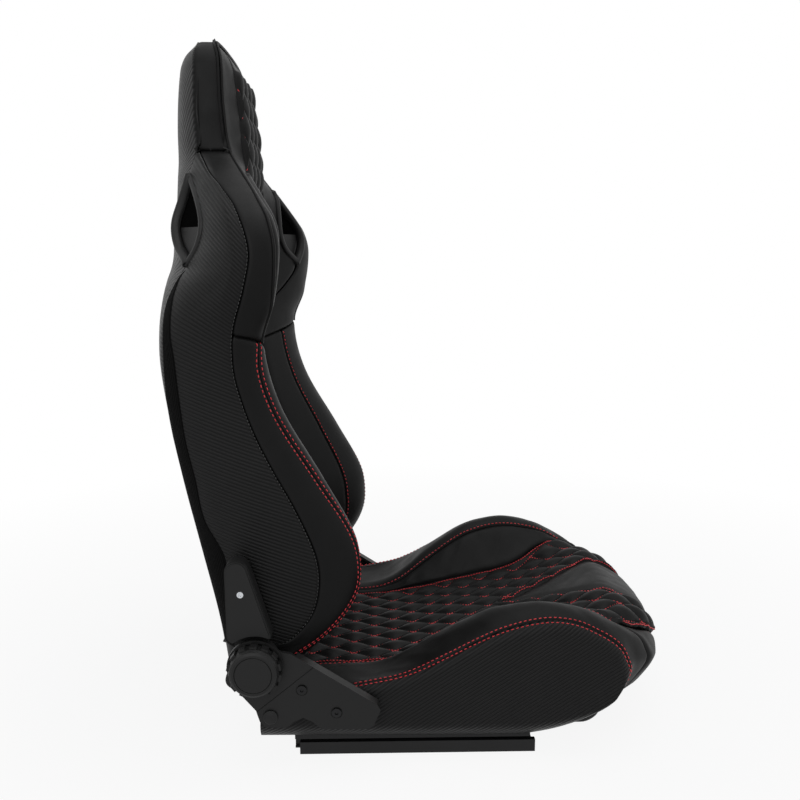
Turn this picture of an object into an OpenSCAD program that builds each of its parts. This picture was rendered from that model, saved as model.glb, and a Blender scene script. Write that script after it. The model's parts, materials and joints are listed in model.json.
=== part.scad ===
// Reclining racing seat with integral headrest, harness slots, twin rotary
// recliners and double-locking floor slides.
// X is the seat's own left, the occupant faces -Y and Z is up.  The origin is
// midway between the four floor bolt holes, on the floor.
// Working curves are written in s (forward) and z (up), with s = -y.

/* [Floor slides] */
// Centre distance between the two slide rails
rail_gauge = 400; // [390:1:404]
// Length of each slide rail
rail_length = 335; // [320:5:350]
// Width of the floor channel
rail_width = 44; // [42:1:46]
// Distance between the front and rear floor bolt holes
bolt_pitch = 290; // [270:5:300]
// Diameter of each floor bolt hole
bolt_hole_d = 8.5; // [8.5:0.1:10.5]
// How far the seat sits behind the middle of its travel
rail_offset = 7; // [0:1:10]

/* [Recliner] */
// Height of the recliner axis above the floor
pivot_z = 160; // [158:1:162]
// Distance of the recliner axis behind the slide centre
pivot_back = 219; // [217:1:221]
// Diameter of the shaft that links the two recliners
shaft_d = 10; // [8:1:12]
// Outer diameter of the recliner hand wheel
knob_d = 72; // [68:1:74]
// Number of grip lugs on the hand wheel
knob_lugs = 14; // [10:1:16]

/* [Frames] */
// Tube diameter of the cushion frame
seat_tube_d = 25; // [22:1:25]
// Tube diameter of the back frame
back_tube_d = 20; // [18:1:20]
// Thickness of the steel side plates and arms
plate_t = 4.5; // [4:0.5:4.5]

/* [Upholstery] */
// Width of one stitched diamond
quilt_w = 40; // [40]
// Length of one stitched diamond
quilt_l = 64; // [60:2:66]
// How far each diamond puffs up between its seams
quilt_puff = 7; // [4:1:9]
// Half width of the quilted cushion centre
insert_x = 140; // [140]
// Half width of the quilted back centre
back_insert_x = 112; // [112]

/* [Hidden] */
$fn = 48;
pivot = [-pivot_back, pivot_z];
tube_r = seat_tube_d / 2;
rail_x = rail_gauge / 2;
seam_z = 588;      // seam between torso bolster and shoulder wing
neck_z = 842;      // seam between shoulder wing and headrest
slot_low_z = 686;  // lower tip of the harness slot
slot_high_z = 808; // upper tip of the harness slot
skirt_x = 226;     // plane where the thigh bolster meets its side panel
arm_in = 254;      // inner face of the recliner arm
disc_t = 5;        // thickness of each recliner half
plate_in = arm_in + plate_t + 2 * disc_t + 0.3;
cover_in = plate_in + plate_t + 0.3;

// ---------------------------------------------------------------- curves
function clamp(v, low, high) = min(max(v, low), high);
function ease(t) = let (u = clamp(t, 0, 1)) u * u * (3 - 2 * u);
function find(p, t, i = 0) = i >= len(p) - 2 || t < p[i + 1][0] ? i : find(p, t, i + 1);
function slope(p, i) = let (a = max(i - 1, 0), b = min(i + 1, len(p) - 1))
    (p[b][1] - p[a][1]) / (p[b][0] - p[a][0]);
// Value at t of the smooth curve through the points p
function smooth(p, t) = let (
    i = find(p, t), h = p[i + 1][0] - p[i][0], u = clamp((t - p[i][0]) / h, 0, 1))
    (1 + 2 * u) * (1 - u) * (1 - u) * p[i][1] + u * (1 - u) * (1 - u) * h * slope(p, i)
    + u * u * (3 - 2 * u) * p[i + 1][1] + u * u * (u - 1) * h * slope(p, i + 1);
function steps(a, b, n) = [for (i = [0:n]) a + (b - a) * i / n];

// Backrest outline, each curve by height z: the position s or half width x
BACK_FRONT = [[112, -186], [200, -200], [300, -217], [400, -240], [500, -262],
    [588, -272], [686, -268], [745, -252], [800, -238], [850, -233],
    [950, -243], [972, -252], [989, -272]];
BACK_REAR = [[112, -290], [200, -303], [300, -325], [400, -347], [500, -366],
    [570, -373], [650, -366], [720, -351], [800, -339], [880, -332],
    [950, -327], [975, -322], [989, -306]];
CREST_S = [[112, -200], [150, -155], [190, -112], [230, -87], [270, -80],
    [320, -88], [400, -131], [500, -187], [588, -206], [640, -189],
    [707, -180], [745, -188], [772, -206], [806, -230], [842, -255],
    [900, -263], [965, -266], [989, -274]];
CREST_X = [[112, 204], [250, 206], [520, 205], [588, 216], [650, 235],
    [707, 240], [745, 228], [775, 202], [806, 165], [842, 134], [900, 131],
    [955, 128], [978, 118], [989, 104]];
SIDE_X = [[112, 240], [180, 248], [300, 250], [400, 249], [500, 245],
    [588, 252], [650, 263], [707, 266], [745, 256], [775, 232], [806, 194],
    [842, 141], [900, 136], [955, 132], [978, 121], [989, 106]];
SIDE_S = [[112, -235], [270, -205], [400, -240], [588, -262], [700, -235],
    [772, -250], [842, -282], [989, -290]];
REAR_X = [[112, 200], [640, 200], [686, 192], [710, 162], [741, 145],
    [775, 144], [808, 150], [842, 135], [955, 132], [978, 121], [989, 106]];
REAR_S = [[112, 27], [600, 28], [640, 32], [665, 40], [686, 48], [710, 26],
    [741, 14], [775, 15], [808, 28], [842, 32], [955, 24], [978, 18], [989, 6]];
SLOT_X = [[686, 192], [712, 204], [741, 206], [775, 185], [808, 150]];
SLOT_S = [[686, -309], [712, -291], [741, -284], [775, -293], [808, -309]];
PAD_EDGE = [[588, 112], [620, 134], [655, 172], [686, 192], [710, 162],
    [741, 145], [775, 144], [808, 150], [842, 131]];
CORE_S = [[112, -240], [300, -273], [500, -313], [588, -322], [700, -314],
    [800, -290], [842, -284], [989, -284]];
flat_x = 60; // the back is flat this far out before its bolsters rise
// Heights at which the wings, the back pad, the rear panel and the slot rims
// are all cut, so that their shared faces lie on one another
SLOT_ROWS = [slot_low_z, 699, 712, 727, 741, 758, 775, 792, slot_high_z];
HIGH_ROWS = concat([seam_z, 608, 624, 640, 656, 672], SLOT_ROWS, [825, neck_z]);
panel_t = 5;    // thickness of the rear panel
panel_gap = 0.6; // between the rear panel and the foam in front of it

function back_front(x, z) = let (s0 = smooth(BACK_FRONT, z), sc = smooth(CREST_S, z))
    s0 + (sc - s0) * ease((abs(x) - flat_x) / (smooth(CREST_X, z) - flat_x));
function back_rear(x, z) = smooth(BACK_REAR, z)
    + smooth(REAR_S, z) * pow(abs(x) / smooth(REAR_X, z), 2.5);
// Point of a side outline between the crest and the rear corner, as a fan of
// two superellipse quarters; n above 2 is squarer
function fan(x0, s0, x1, s1, a, n) =
    [x0 + (x1 - x0) * pow(sin(a), 2 / n), s1 + (s0 - s1) * pow(cos(a), 2 / n)];

// ------------------------------------------------------------- soft forms
// Solid through closed rings of equal length, ordered so that the rings turn
// anticlockwise seen from the last one; ladder closes each end with rungs
// between its upper and lower edge
module loft(rings, ladder = false) {
    m = len(rings);
    n = len(rings[0]);
    ends = ladder ? [for (j = [0:n / 2 - 2]) [j, j + 1, n - 2 - j, n - 1 - j]]
        : [[for (j = [0:n - 1]) j]];
    sides = [for (i = [0:m - 2], j = [0:n - 1]) let (
        a = i * n + j, b = i * n + (j + 1) % n, c = b + n, d = a + n)
        each (i + j) % 2 == 0 ? [[a, c, b], [a, d, c]] : [[a, d, b], [b, d, c]]];
    polyhedron(concat([for (r = rings) each r]),
        concat(ends, sides, [for (e = ends)
            [for (k = [len(e) - 1:-1:0]) (m - 1) * n + e[k]]]));
}
module both(side) {
    if (side > 0) children();
    else mirror([1, 0, 0]) children();
}
// Raised middle of each stitched diamond, on a grid of half diamonds, and
// its height at t half diamonds along
function puff(i, j) = abs(i + j) % 2 == 1 ? quilt_puff : 0;
function puff_at(t, j) = let (i = floor(t)) (1 - t + i) * puff(i, j) + (t - i) * puff(i + 1, j);
function in_slot(z) = z > slot_low_z && z < slot_high_z;
// Half width of the rear panel, which ends at the slot where there is one
function panel_x(z) = smooth(in_slot(z) ? PAD_EDGE : REAR_X, z);

// Half-section of a bolster or wing at height z, from the front at x = inner
// round the crest and side to the rear corner
function bolster_outline(z, inner, rear_x, rear_s) = let (
    xc = smooth(CREST_X, z), sc = smooth(CREST_S, z),
    xs = smooth(SIDE_X, z), ss = smooth(SIDE_S, z),
    n = z > seam_z ? 2 - 0.75 * ease((z - seam_z) / 90) : 2.2)
    concat(
        [for (x = steps(inner, xc, 5)) [x, back_front(x, z)]],
        [for (a = [22.5, 45, 67.5, 90]) fan(xc, sc, xs, ss, a, 2)],
        [for (a = [25, 50, 72]) fan(rear_x, rear_s, xs, ss, 90 - a, n)],
        [[rear_x, rear_s]]);
function at_height(outline, z) = [for (p = outline) [p[0], -p[1], z]];

lip = panel_t + panel_gap;
module torso_bolster(side) {
    zs = concat([112, 124, 140, 160], steps(190, 550, 9), [seam_z]);
    color("#26262a") both(side) difference() {
        loft([for (z = zs) let (
            rx = smooth(REAR_X, z), rs = back_rear(rx, z), core = smooth(CORE_S, z))
            at_height(concat(bolster_outline(z, back_insert_x, rx, rs),
                [[rx, rs + lip], [rx - 14, rs + lip], [rx - 14, core],
                [back_insert_x, core]]), z)]);
        across(pivot, shaft_d / 2 + 3, back_insert_x - 1, 260);
        across(foot_tube, foot_tube_r + 1, back_insert_x - 1, 260);
    }
}
// The wing ends in a wall along the harness slot, and above and below the
// slot it meets the back pad
module shoulder_wing(side) {
    color("#26262a") both(side) loft([for (z = HIGH_ROWS) let (
        rx = smooth(in_slot(z) ? SLOT_X : REAR_X, z),
        rs = in_slot(z) ? smooth(SLOT_S, z) : back_rear(rx, z),
        inner = in_slot(z) ? rx : min(smooth(PAD_EDGE, z), rx),
        back = in_slot(z) ? rs : rs + lip)
        at_height(concat(bolster_outline(z, inner, rx + 0.5, rs),
            [[rx + 0.25, back], [inner, back + (in_slot(z) ? 0 : 1)]]), z)]);
}
// Centre of the back: quilted over its full height, solid round the slots
module back_pad() {
    step = quilt_l / 2;
    zs = concat([for (z = [112:step:seam_z - 10]) z], HIGH_ROWS);
    cols = [for (j = [-5:5]) j];
    color("#26262a") difference() {
        loft([for (i = [0:len(zs) - 1]) let (
            z = zs[i], edge = z < seam_z ? back_insert_x : smooth(PAD_EDGE, z),
            core = smooth(CORE_S, z),
            rear = z > slot_low_z - 20 && z < slot_high_z + 5
                ? back_rear(edge, z) + lip : core)
            at_height(concat([[-edge, back_front(edge, z)]],
                [for (j = cols) let (x = j * quilt_w / 2)
                    [x, back_front(x, z) + (i > 0 && z < neck_z ? puff_at((z - 112) / step, j) : 0)]],
                [[edge, back_front(edge, z)], [edge, rear], [min(edge, 106) - 2, rear],
                [min(edge, 106) - 4, core], [-min(edge, 106) + 4, core],
                [-min(edge, 106) + 2, rear], [-edge, rear]]), z)]);
        across(pivot, shaft_d / 2 + 3, -back_insert_x - 1, back_insert_x + 1);
        across(foot_tube, foot_tube_r + 1, -back_insert_x - 1, back_insert_x + 1);
    }
}
HEAD_LOW = [neck_z, 865, 888, 911, 934, 952]; // hollow behind
HEAD_HIGH = [952, 966, 976, 984, 989];        // solid
module headrest_pad() {
    color("#2a2a2e") {
        loft([for (i = [0:len(HEAD_LOW) - 1]) head_ring(HEAD_LOW[i], i, true)]);
        loft([for (i = [0:len(HEAD_HIGH) - 1]) head_ring(HEAD_HIGH[i], i, false)]);
    }
}
function head_ring(z, i, hollow) = let (
    xc = smooth(CREST_X, z), sc = smooth(CREST_S, z), xs = smooth(SIDE_X, z),
    rx = smooth(REAR_X, z), rs = back_rear(rx, z), wall = rx - 18, back = rs + lip,
    core = hollow ? smooth(CORE_S, z) : back + 0.2,
    half = [[xc, sc], [xs, sc - 14], [xs, (sc + rs) / 2], [rx + 0.5, rs], [rx + 0.25, back]])
    at_height(concat(
        [for (k = [4:-1:0]) [-half[k][0], half[k][1]]],
        [for (j = [-4:4]) let (x = j * quilt_w / 2)
            [x, back_front(x, z) + (hollow ? puff(i, j) * 0.6 : 0)]],
        half,
        [[wall, back], [wall - 2, core], [-wall + 2, core], [-wall, back]]), z);

// Skin of the back between the side panels
module rear_panel() {
    zs = concat(steps(116, 556, 10), HIGH_ROWS,
        [for (i = [1:len(HEAD_LOW) - 1]) HEAD_LOW[i]],
        [for (i = [1:len(HEAD_HIGH) - 1]) HEAD_HIGH[i]]);
    us = [for (k = [-6:6]) k / 6];
    color("#2c2c30") loft([for (z = zs) let (rx = panel_x(z))
        at_height(concat([for (u = us) [-u * rx, back_rear(u * rx, z)]],
            [for (u = us) [u * rx, back_rear(u * rx, z) + panel_t]]), z)]);
}
// Moulded rim of a harness slot: a tube of flattened section round the tip
// to tip outline, let into the wing and the back pad
module slot_bezel(side, front) {
    outer = [for (z = SLOT_ROWS) [smooth(SLOT_X, z), z]];
    inner = [for (k = [len(SLOT_ROWS) - 2:-1:1]) [smooth(PAD_EDGE, SLOT_ROWS[k]), SLOT_ROWS[k]]];
    ring = concat(outer, inner);
    n = len(ring);
    mid = [for (k = [0:1]) [for (p = ring) p[k]] * [for (p = ring) 1 / n]];
    function rim_s(x, z) = front ? back_front(x, z)
        : lookup(x, [[smooth(REAR_X, z), back_rear(smooth(REAR_X, z), z)],
            [smooth(SLOT_X, z) + 0.01, smooth(SLOT_S, z)]]);
    color("#1c1c1e") both(side) closed_loft([for (p = ring) let (
        d = (mid - p) / norm(mid - p), s = rim_s(p[0], p[1]), f = front ? 1 : -1)
        [for (q = [[0.3, 0], [1.8, 1.9], [5.4, 1.9], [7, 0], [7, -16], [0.3, -16]])
            [p[0] + d[0] * q[0], -(s + f * q[1]), p[1] + d[1] * q[0]]]], front);
}
// Solid ring through closed sections that follow one another round a loop
module closed_loft(rings, flip) {
    m = len(rings);
    n = len(rings[0]);
    tris = [for (i = [0:m - 1], j = [0:n - 1]) let (
        a = i * n + j, b = i * n + (j + 1) % n,
        c = ((i + 1) % m) * n + (j + 1) % n, d = ((i + 1) % m) * n + j)
        each [[a, c, b], [a, d, c]]];
    polyhedron([for (r = rings) each r],
        flip ? [for (t = tris) [t[0], t[2], t[1]]] : tris);
}

// ------------------------------------------------------------------ tools
// Straight round bar along X through the point [s, z]
module across(p, r, from, to) {
    translate([from, -p[0], p[1]]) rotate([0, 90, 0]) cylinder(r = r, h = to - from);
}
// Plate of outline [s, z], from x = from outwards
module plate(from, t) {
    translate([from, 0, 0]) rotate([90, 0, 90]) linear_extrude(t) mirror([1, 0]) children();
}
module disc2(p, r) { translate(p) circle(r); }
// Bar bent through a list of points, its corners rounded over the distance
// bend; up is a direction that the bar never runs along
function unit(v) = v / norm(v);
function rounded(pts, bend) = [for (i = [0:len(pts) - 1])
    each i == 0 || i == len(pts) - 1 ? [pts[i]] : let (
        a = pts[i] + unit(pts[i - 1] - pts[i]) * bend,
        b = pts[i] + unit(pts[i + 1] - pts[i]) * bend)
        [for (t = [0, 0.25, 0.5, 0.75, 1])
            (1 - t) * (1 - t) * a + 2 * t * (1 - t) * pts[i] + t * t * b]];
module bent_bar(pts, r, bend, up) {
    path = rounded(pts, bend);
    last = len(path) - 1;
    sides = 16;
    loft([for (i = [0:last]) let (
        t = unit(path[min(i + 1, last)] - path[max(i - 1, 0)]),
        u = unit(cross(t, up)), v = cross(t, u))
        [for (k = [0:sides - 1]) let (a = (k + 0.5) * 360 / sides)
            path[i] + r * (cos(a) * u + sin(a) * v)]]);
}

// ---------------------------------------------------------------- cushion
// Heights by s: top along the centre, crest of the thigh bolster, seam of the
// side panel and lower hem; and the half width of the crest
CENTRE_Z = [[-160, 96], [-60, 94], [20, 103], [74, 116], [144, 131], [200, 147],
    [250, 165], [290, 179], [320, 185]];
THIGH_Z = [[-160, 108], [-62, 110], [-25, 124], [31, 164], [95, 203], [130, 214],
    [172, 219], [215, 213], [254, 199], [283, 177], [305, 153]];
THIGH_X = [[-160, 166], [-25, 169], [31, 184], [95, 200], [170, 210], [305, 205]];
SIDE_Z = [[-220, 79], [-165, 93], [-102, 112], [-19, 129], [29, 150], [70, 171],
    [111, 190], [152, 202], [189, 206], [225, 199], [256, 181], [280, 152]];
HEM_Z = [[-220, 37], [130, 34], [172, 38], [215, 49], [254, 66], [284, 86]];
// Front of the cushion: [share of the height, how far forward of the top]
NOSE = [[0.82, 38], [0.63, 53], [0.48, 59], [0.26, 42], [0.09, 24], [0, 4]];
seat_rear = -160;
side_rear = -220;
frame_top = 72;  // underside of the foam, which rests on the frame
top_front = 304; // where the top starts to turn down into the nose
function nose_s(x) = 322 - 0.00098 * x * x - 16 * ease((abs(x) - 170) / 60);
function nose_low(x) = 40 + 30 * ease((abs(x) - 80) / 120);
function top_z(x, s) = let (z0 = smooth(CENTRE_Z, s), a = abs(x),
    zc = smooth(THIGH_Z, s), xc = smooth(THIGH_X, s))
    a < xc ? z0 + (zc - z0) * ease((a - 118) / (xc - 118))
    : zc + (smooth(SIDE_Z, s) - zc) * pow((a - xc) / (240 - xc), 2);
// Half width of the plain leather panel that widens towards the nose
function plain_x(s) = (s - 150) * 0.42;

// Profile of the cushion at x, from its lower rear edge over the top and the
// nose and back along the underside; j counts half diamonds across
function cushion_ring(x, j) = let (
    n = floor((top_front - seat_rear) / (quilt_l / 2)), f = nose_s(x),
    stations = [for (i = [0:n]) seat_rear + i * quilt_l / 2], low = nose_low(x),
    zf = top_z(x, top_front), under = abs(x) > 216 ? 48 : frame_top)
    concat([[seat_rear, under]],
        [for (i = [0:n]) let (s = stations[i],
            up = i > 0 && abs(x) > plain_x(s) && abs(x) < insert_x - 1 ? puff(i, j) : 0)
            [s, top_z(x, s) + up]],
        [[min(top_front, f - 4), zf]],
        [for (q = NOSE) [f + q[1], low + (zf - low) * q[0]]],
        [[f - 26, low], [f - 36, under]]);
function at_side(x, profile) = [for (p = profile) [x, -p[0], p[1]]];

module cushion_pad() {
    n = insert_x / (quilt_w / 2);
    color("#26262a") loft([for (j = [-n:n])
        at_side(j * quilt_w / 2, cushion_ring(j * quilt_w / 2, j))]);
}
module thigh_bolster(side) {
    color("#2a2a2e") both(side) difference() {
        loft([for (x = [insert_x, 154, 168, 182, 196, 208, 216, skirt_x])
            at_side(x, cushion_ring(x, 0))]);
        spacer_bores();
    }
}
SPACERS = [[-190, 58], [-100, 58]]; // where the side plate meets the frame
spacer_r = 10;
module spacer_bores() {
    for (p = SPACERS) across(p, spacer_r + 1, skirt_x - 12, 252);
}
// Padded panel of carbon-weave vinyl down each side of the cushion
module cushion_side(side) {
    tops = steps(side_rear, 280, 16);
    hems = steps(284, side_rear, 16);
    color("#303034") both(side) difference() {
        loft([for (u = [0, 0.35, 0.65, 0.87, 1]) let (e = 15 * (1 - sqrt(1 - u * u * 0.97)))
            at_side(skirt_x + 24 * u, concat(
                [for (s = tops) [s + (s < -200 ? e : 0), smooth(SIDE_Z, s) + 6 - e]],
                [[292 - e, 130], [297 - e, 114], [297 - e, 104], [292 - e, 94]],
                [for (s = hems) [s + (s < -200 ? e : 0), smooth(HEM_Z, s) + e * 0.5]]))], true);
        for (p = SPACERS) plate(skirt_x - 5, 35) translate(p) square(2 * spacer_r + 3, center = true);
    }
}
module cushion_frame() {
    z = 58;
    loop = [[-200, 190, z], [-200, -190, z], [-160, -245, z], [160, -245, z],
        [200, -190, z], [200, 190, z]];
    color("#1b1b1d") union() {
        bent_bar(loop, tube_r, 28, [0, 0, 1]);
        for (s = [-190, 60]) across([s, z], tube_r - 1.5, -200, 200);
        for (m = [0, 1], p = SPACERS) mirror([m, 0, 0]) across(p, spacer_r, 194, plate_in);
        for (m = [0, 1], s = [-140, 120]) mirror([m, 0, 0])
            translate([rail_x - 15, -s - 15, rail_top]) cube([30, 30, 15]);
    }
}
// Four sinuous springs that carry the foam inside the frame
module cushion_springs() {
    wire = 4;
    loop_w = 44;
    n = 9;
    rear = 190 - tube_r + 1.5; // face of the rear cross tube
    span = rear + 60 - tube_r + 1.5;
    pitch = (span - wire - 0.2) / n;
    color("#3a3a3e") for (x = [-108, -36, 36, 108])
        translate([x, rear - wire / 2 - 0.1, 60]) rotate([180, 0, 0]) translate([0, 0, -wire])
            linear_extrude(wire) sinuous(n, pitch, loop_w, wire);
}
module sinuous(n, pitch, w, wire) {
    for (i = [0:n]) translate([-w / 2, i * pitch - (i == 0 ? 0 : wire / 2)]) square([w, wire]);
    for (i = [0:n - 1]) translate([(i % 2 == 0 ? 1 : -1) * w / 2, (i + 0.5) * pitch])
        intersection() {
            difference() {
                circle(d = pitch + wire);
                circle(d = pitch - wire);
            }
            translate([i % 2 == 0 ? 0 : -pitch, -pitch]) square([pitch, pitch * 2]);
        }
}

// ------------------------------------------------------------------ slides
floor_t = 3;
wall_t = 2.5;
rail_wall = 18;  // height of the floor channel
rail_top = 33;   // height of the sliding rail
WINDOW_PITCH = 10;
latch_pin = [60, 26]; // axis of the slide handle, [s, z]
module slider_lower(side) {
    w = rail_width;
    color("#141416") both(side) translate([rail_x, 0, 0]) difference() {
        rotate([90, 0, 0]) linear_extrude(rail_length, center = true) {
            translate([-w / 2, 0]) square([w, floor_t]);
            for (m = [0, 1]) mirror([m, 0]) {
                translate([w / 2 - wall_t, 0]) square([wall_t, rail_wall]);
                translate([w / 2 - 8, rail_wall - wall_t]) square([8, wall_t]);
                translate([w / 2 - 8, rail_wall - 6]) square([wall_t, 6]);
            }
        }
        for (y = [-1, 1]) translate([0, y * bolt_pitch / 2, -1])
            cylinder(d = bolt_hole_d, h = floor_t + 2);
        for (i = [0:15]) translate([-w / 2 - 1, -130 + i * WINDOW_PITCH, 7])
            cube([wall_t + 2, 5, 6]);
    }
}
module slider_upper(side) {
    color("#19191b") both(side) translate([rail_x, rail_offset, 0]) difference() {
        union() {
            rotate([90, 0, 0]) linear_extrude(rail_length, center = true) {
                translate([-20, rail_top - 3]) square([40, 3]);
                for (m = [0, 1]) mirror([m, 0]) {
                    translate([17.5, 22]) square([wall_t, rail_top - 22]);
                    translate([9, 6]) square([wall_t, rail_top - 6]);
                    translate([9, 6]) square([6, wall_t]);
                }
            }
            translate([-24, -latch_pin[0] - 13 - rail_offset, 21]) cube([5, 26, rail_top - 21]);
        }
        translate([0, -rail_offset, 0]) across(latch_pin, 3.05, -25, -18);
    }
}
// Steel rod that runs forward from both latches and across under the nose
rod_x = 170;
bar = [268, 32];
module slide_handle() {
    pts = [[-rod_x, -latch_pin[0] - 6, 20], [-rod_x, -252, 20],
        [-rod_x, -bar[0], bar[1]], [rod_x, -bar[0], bar[1]],
        [rod_x, -252, 20], [rod_x, -latch_pin[0] - 6, 20]];
    color("#101012") bent_bar(pts, 4.5, 9, [0, 0, 1]);
}
module handle_grip() {
    color("#1c1c1e") difference() {
        across(bar, 7, -150, 150);
        across(bar, 4.5, -151, 151);
    }
}
// Latch lever: its claw stands beside the windows of the floor channel and
// lifts with the handle
module latch(side) {
    in = 174.6;
    color("#4a4a4e") both(side) {
        difference() {
            plate(in, 1.4) union() {
                hull() {
                    disc2(latch_pin, 7);
                    disc2([100, 20], 6);
                }
                translate([84, 7]) square([26, 12]);
            }
        }
        across(latch_pin, 3, in, 180.8);
        for (i = [0:2]) translate([in + 1.4, -93 - i * WINDOW_PITCH + 5, 8]) cube([1.5, 4, 4]);
    }
}

// ---------------------------------------------------------------- recliner
disc_r = 31;
bolt_1 = [-158, 127];
bolt_2 = [-112, 94];
knob_in = cover_in + 8; // inner face of the hand wheel
// Steel plate that joins the fixed half of a recliner to the cushion frame
module side_plate(side) {
    color("#2b2b2e") both(side) difference() {
        plate(plate_in, plate_t) union() {
            disc2(pivot, disc_r);
            hull() {
                disc2([-219, 140], 12);
                disc2([-168, 160], 8);
                disc2([-84, 100], 8);
                disc2([-84, 58], 12);
                disc2([-188, 58], 13);
            }
        }
        across(pivot, shaft_d / 2 + 0.05, plate_in - 1, plate_in + plate_t + 1);
        for (p = [bolt_1, bolt_2]) across(p, 3.3, plate_in - 1, plate_in + plate_t + 1);
    }
}
module toothed_disc(from, t, teeth, r) {
    translate([from, 0, 0]) rotate([90, 0, 90]) linear_extrude(t) mirror([1, 0])
        translate(pivot) {
            circle(r);
            for (i = [0:teeth - 1]) rotate(i * 360 / teeth) translate([r - 1, -1.2]) square([2.6, 2.4]);
        }
}
module recliner_fixed(side) {
    from = plate_in - disc_t;
    color("#5a5a5e") both(side) difference() {
        toothed_disc(from, disc_t, 34, disc_r - 4);
        across(pivot, shaft_d / 2 + 0.05, from - 1, from + disc_t + 1);
    }
}
module recliner_moving(side) {
    from = arm_in + plate_t;
    color("#66666a") both(side) difference() {
        across(pivot, disc_r, from, from + disc_t);
        across(pivot, shaft_d / 2 + 0.05, from - 1, from + disc_t + 1);
    }
}
arm_top = [-240, 291];
module recliner_arm(side) {
    color("#2b2b2e") both(side) difference() {
        plate(arm_in, plate_t) union() {
            disc2(pivot, disc_r);
            hull() {
                disc2([-225, 176], 24);
                disc2(arm_top, 12);
            }
            hull() {
                disc2(frame_foot, 13);
                disc2(pivot, 20);
            }
        }
        across(pivot, shaft_d / 2 + 0.05, arm_in - 1, arm_in + plate_t + 1);
        across(screw, 2.6, arm_in - 1, arm_in + plate_t + 1);
    }
}
// Moulded cap over the arm: round at the top, hollow, and cut off below by an
// arc round the hand wheel
screw = [-236, 262];
arm_cover_out = 283;
module arm_cover(side) {
    from = arm_in + plate_t + 0.2;
    color("#1e1e20") both(side) difference() {
        union() {
            plate(from, arm_cover_out - from - 4) arm_cap(0);
            plate(arm_cover_out - 4.01, 2.5) arm_cap(1.2);
            plate(arm_cover_out - 1.52, 1.5) arm_cap(3);
        }
        plate(from - 1, arm_cover_out - from - 3) arm_cap(3);
        across(pivot, 45, from - 1, arm_cover_out + 1);
        across(screw, 2.2, from, arm_cover_out + 1);
        across(screw, 4.6, arm_cover_out - 2, arm_cover_out + 1);
    }
    color("#1e1e20") both(side) difference() {
        across(screw, 5.5, from, arm_cover_out - 4);
        across(screw, 2.2, from - 1, arm_cover_out);
    }
}
module arm_cap(in) {
    hull() {
        disc2([-240.5, 291.5], 16 - in);
        disc2([-245, 204], 11 - in);
        disc2([-208, 204], 11 - in);
        disc2([-230, 196], 11 - in);
    }
}
module cover_screw(side) {
    from = arm_in + 0.5;
    color("silver") both(side) {
        across(screw, 2.1, from, arm_cover_out - 2);
        across(screw, 4.3, arm_cover_out - 2, arm_cover_out - 0.4);
    }
}
// Lower cover: a shell over the side plate with a raised collar round the
// hand wheel, an arch in its lower edge and dished screw seats
COVER = [[-172, 178], [-57, 104], [-53, 96], [-62, 75], [-69, 69.5], [-132, 70],
    [-144, 81], [-157, 87], [-170, 81], [-180, 73], [-207, 74], [-215, 82],
    [-220, 98], [-237, 118], [-246, 140], [-215, 186]];
cover_t = 2.5;
module bracket_cover(side) {
    face = cover_in + 3;
    color("#1e1e20") both(side) difference() {
        union() {
            difference() {
                plate(262, face + cover_t - 262) polygon(COVER);
                plate(261, face - 261) cover_pocket();
            }
            across(pivot, 38, cover_in, cover_in + 7);
        }
        across(pivot, knob_d / 2 - 2, cover_in + 4, face + 20);
        across(pivot, 34, 250, cover_in);
        plate(261, cover_in - 261.2) arm_sweep();
        plate(261, cover_in - 261) translate([-216, 40]) square([145, 56]);
        across(pivot, shaft_d / 2 + 1, cover_in - 1, face + 9);
        for (p = [bolt_1, bolt_2]) {
            across(p, 3.3, cover_in - 1, face + 9);
            across(p, 8, face + cover_t - 1.2, face + 9);
        }
    }
}
module cover_pocket() {
    hull() {
        disc2([-170, 166], 6);
        disc2([-64, 99], 3);
        disc2([-72, 78], 5);
        disc2([-130, 79], 5);
        disc2([-150, 100], 8);
        disc2([-210, 99], 8);
        disc2([-228, 140], 8);
        disc2(pivot, 24);
    }
    disc2([-196, 88], 10);
}
// Room for the fixed plate and for the arm above the recliner
module arm_sweep() {
    disc2(pivot, 39);
    translate([-330, 150]) square([165, 60]);
}
module bracket_bolts(side) {
    face = cover_in + 3 + cover_t;
    color("#3a3a3e") both(side) for (p = [bolt_1, bolt_2]) difference() {
        union() {
            across(p, 3.2, plate_in, face - 1);
            across(p, 6.5, face - 1.2, face + 2);
        }
        across(p, 2.5, face + 0.4, face + 3);
    }
}
// Hand wheel: dished face, ring groove and castellated grip
module knob(side) {
    r = knob_d / 2;
    depth = 23;
    color("#202022") both(side) difference() {
        translate([knob_in, -pivot[0], pivot[1]]) rotate([0, 90, 0]) {
            rotate_extrude() polygon([[shaft_d / 2, 0], [r - 4, 0], [r - 3, 2],
                [r - 3, depth - 7], [r - 5, depth - 2], [r - 8, depth],
                [r - 11, depth], [r - 11.6, depth - 0.8], [r - 12.2, depth],
                [0, depth], [0, depth - 6], [shaft_d / 2, depth - 6]]);
            for (i = [0:knob_lugs - 1]) rotate(i * 360 / knob_lugs)
                translate([r - 4, -4.6, 3]) cube([4, 9.2, depth - 11]);
        }
    }
}
module recliner_shaft() {
    color("#5a5a5e") across(pivot, shaft_d / 2, -knob_in - 16.8, knob_in + 16.8);
}

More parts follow.
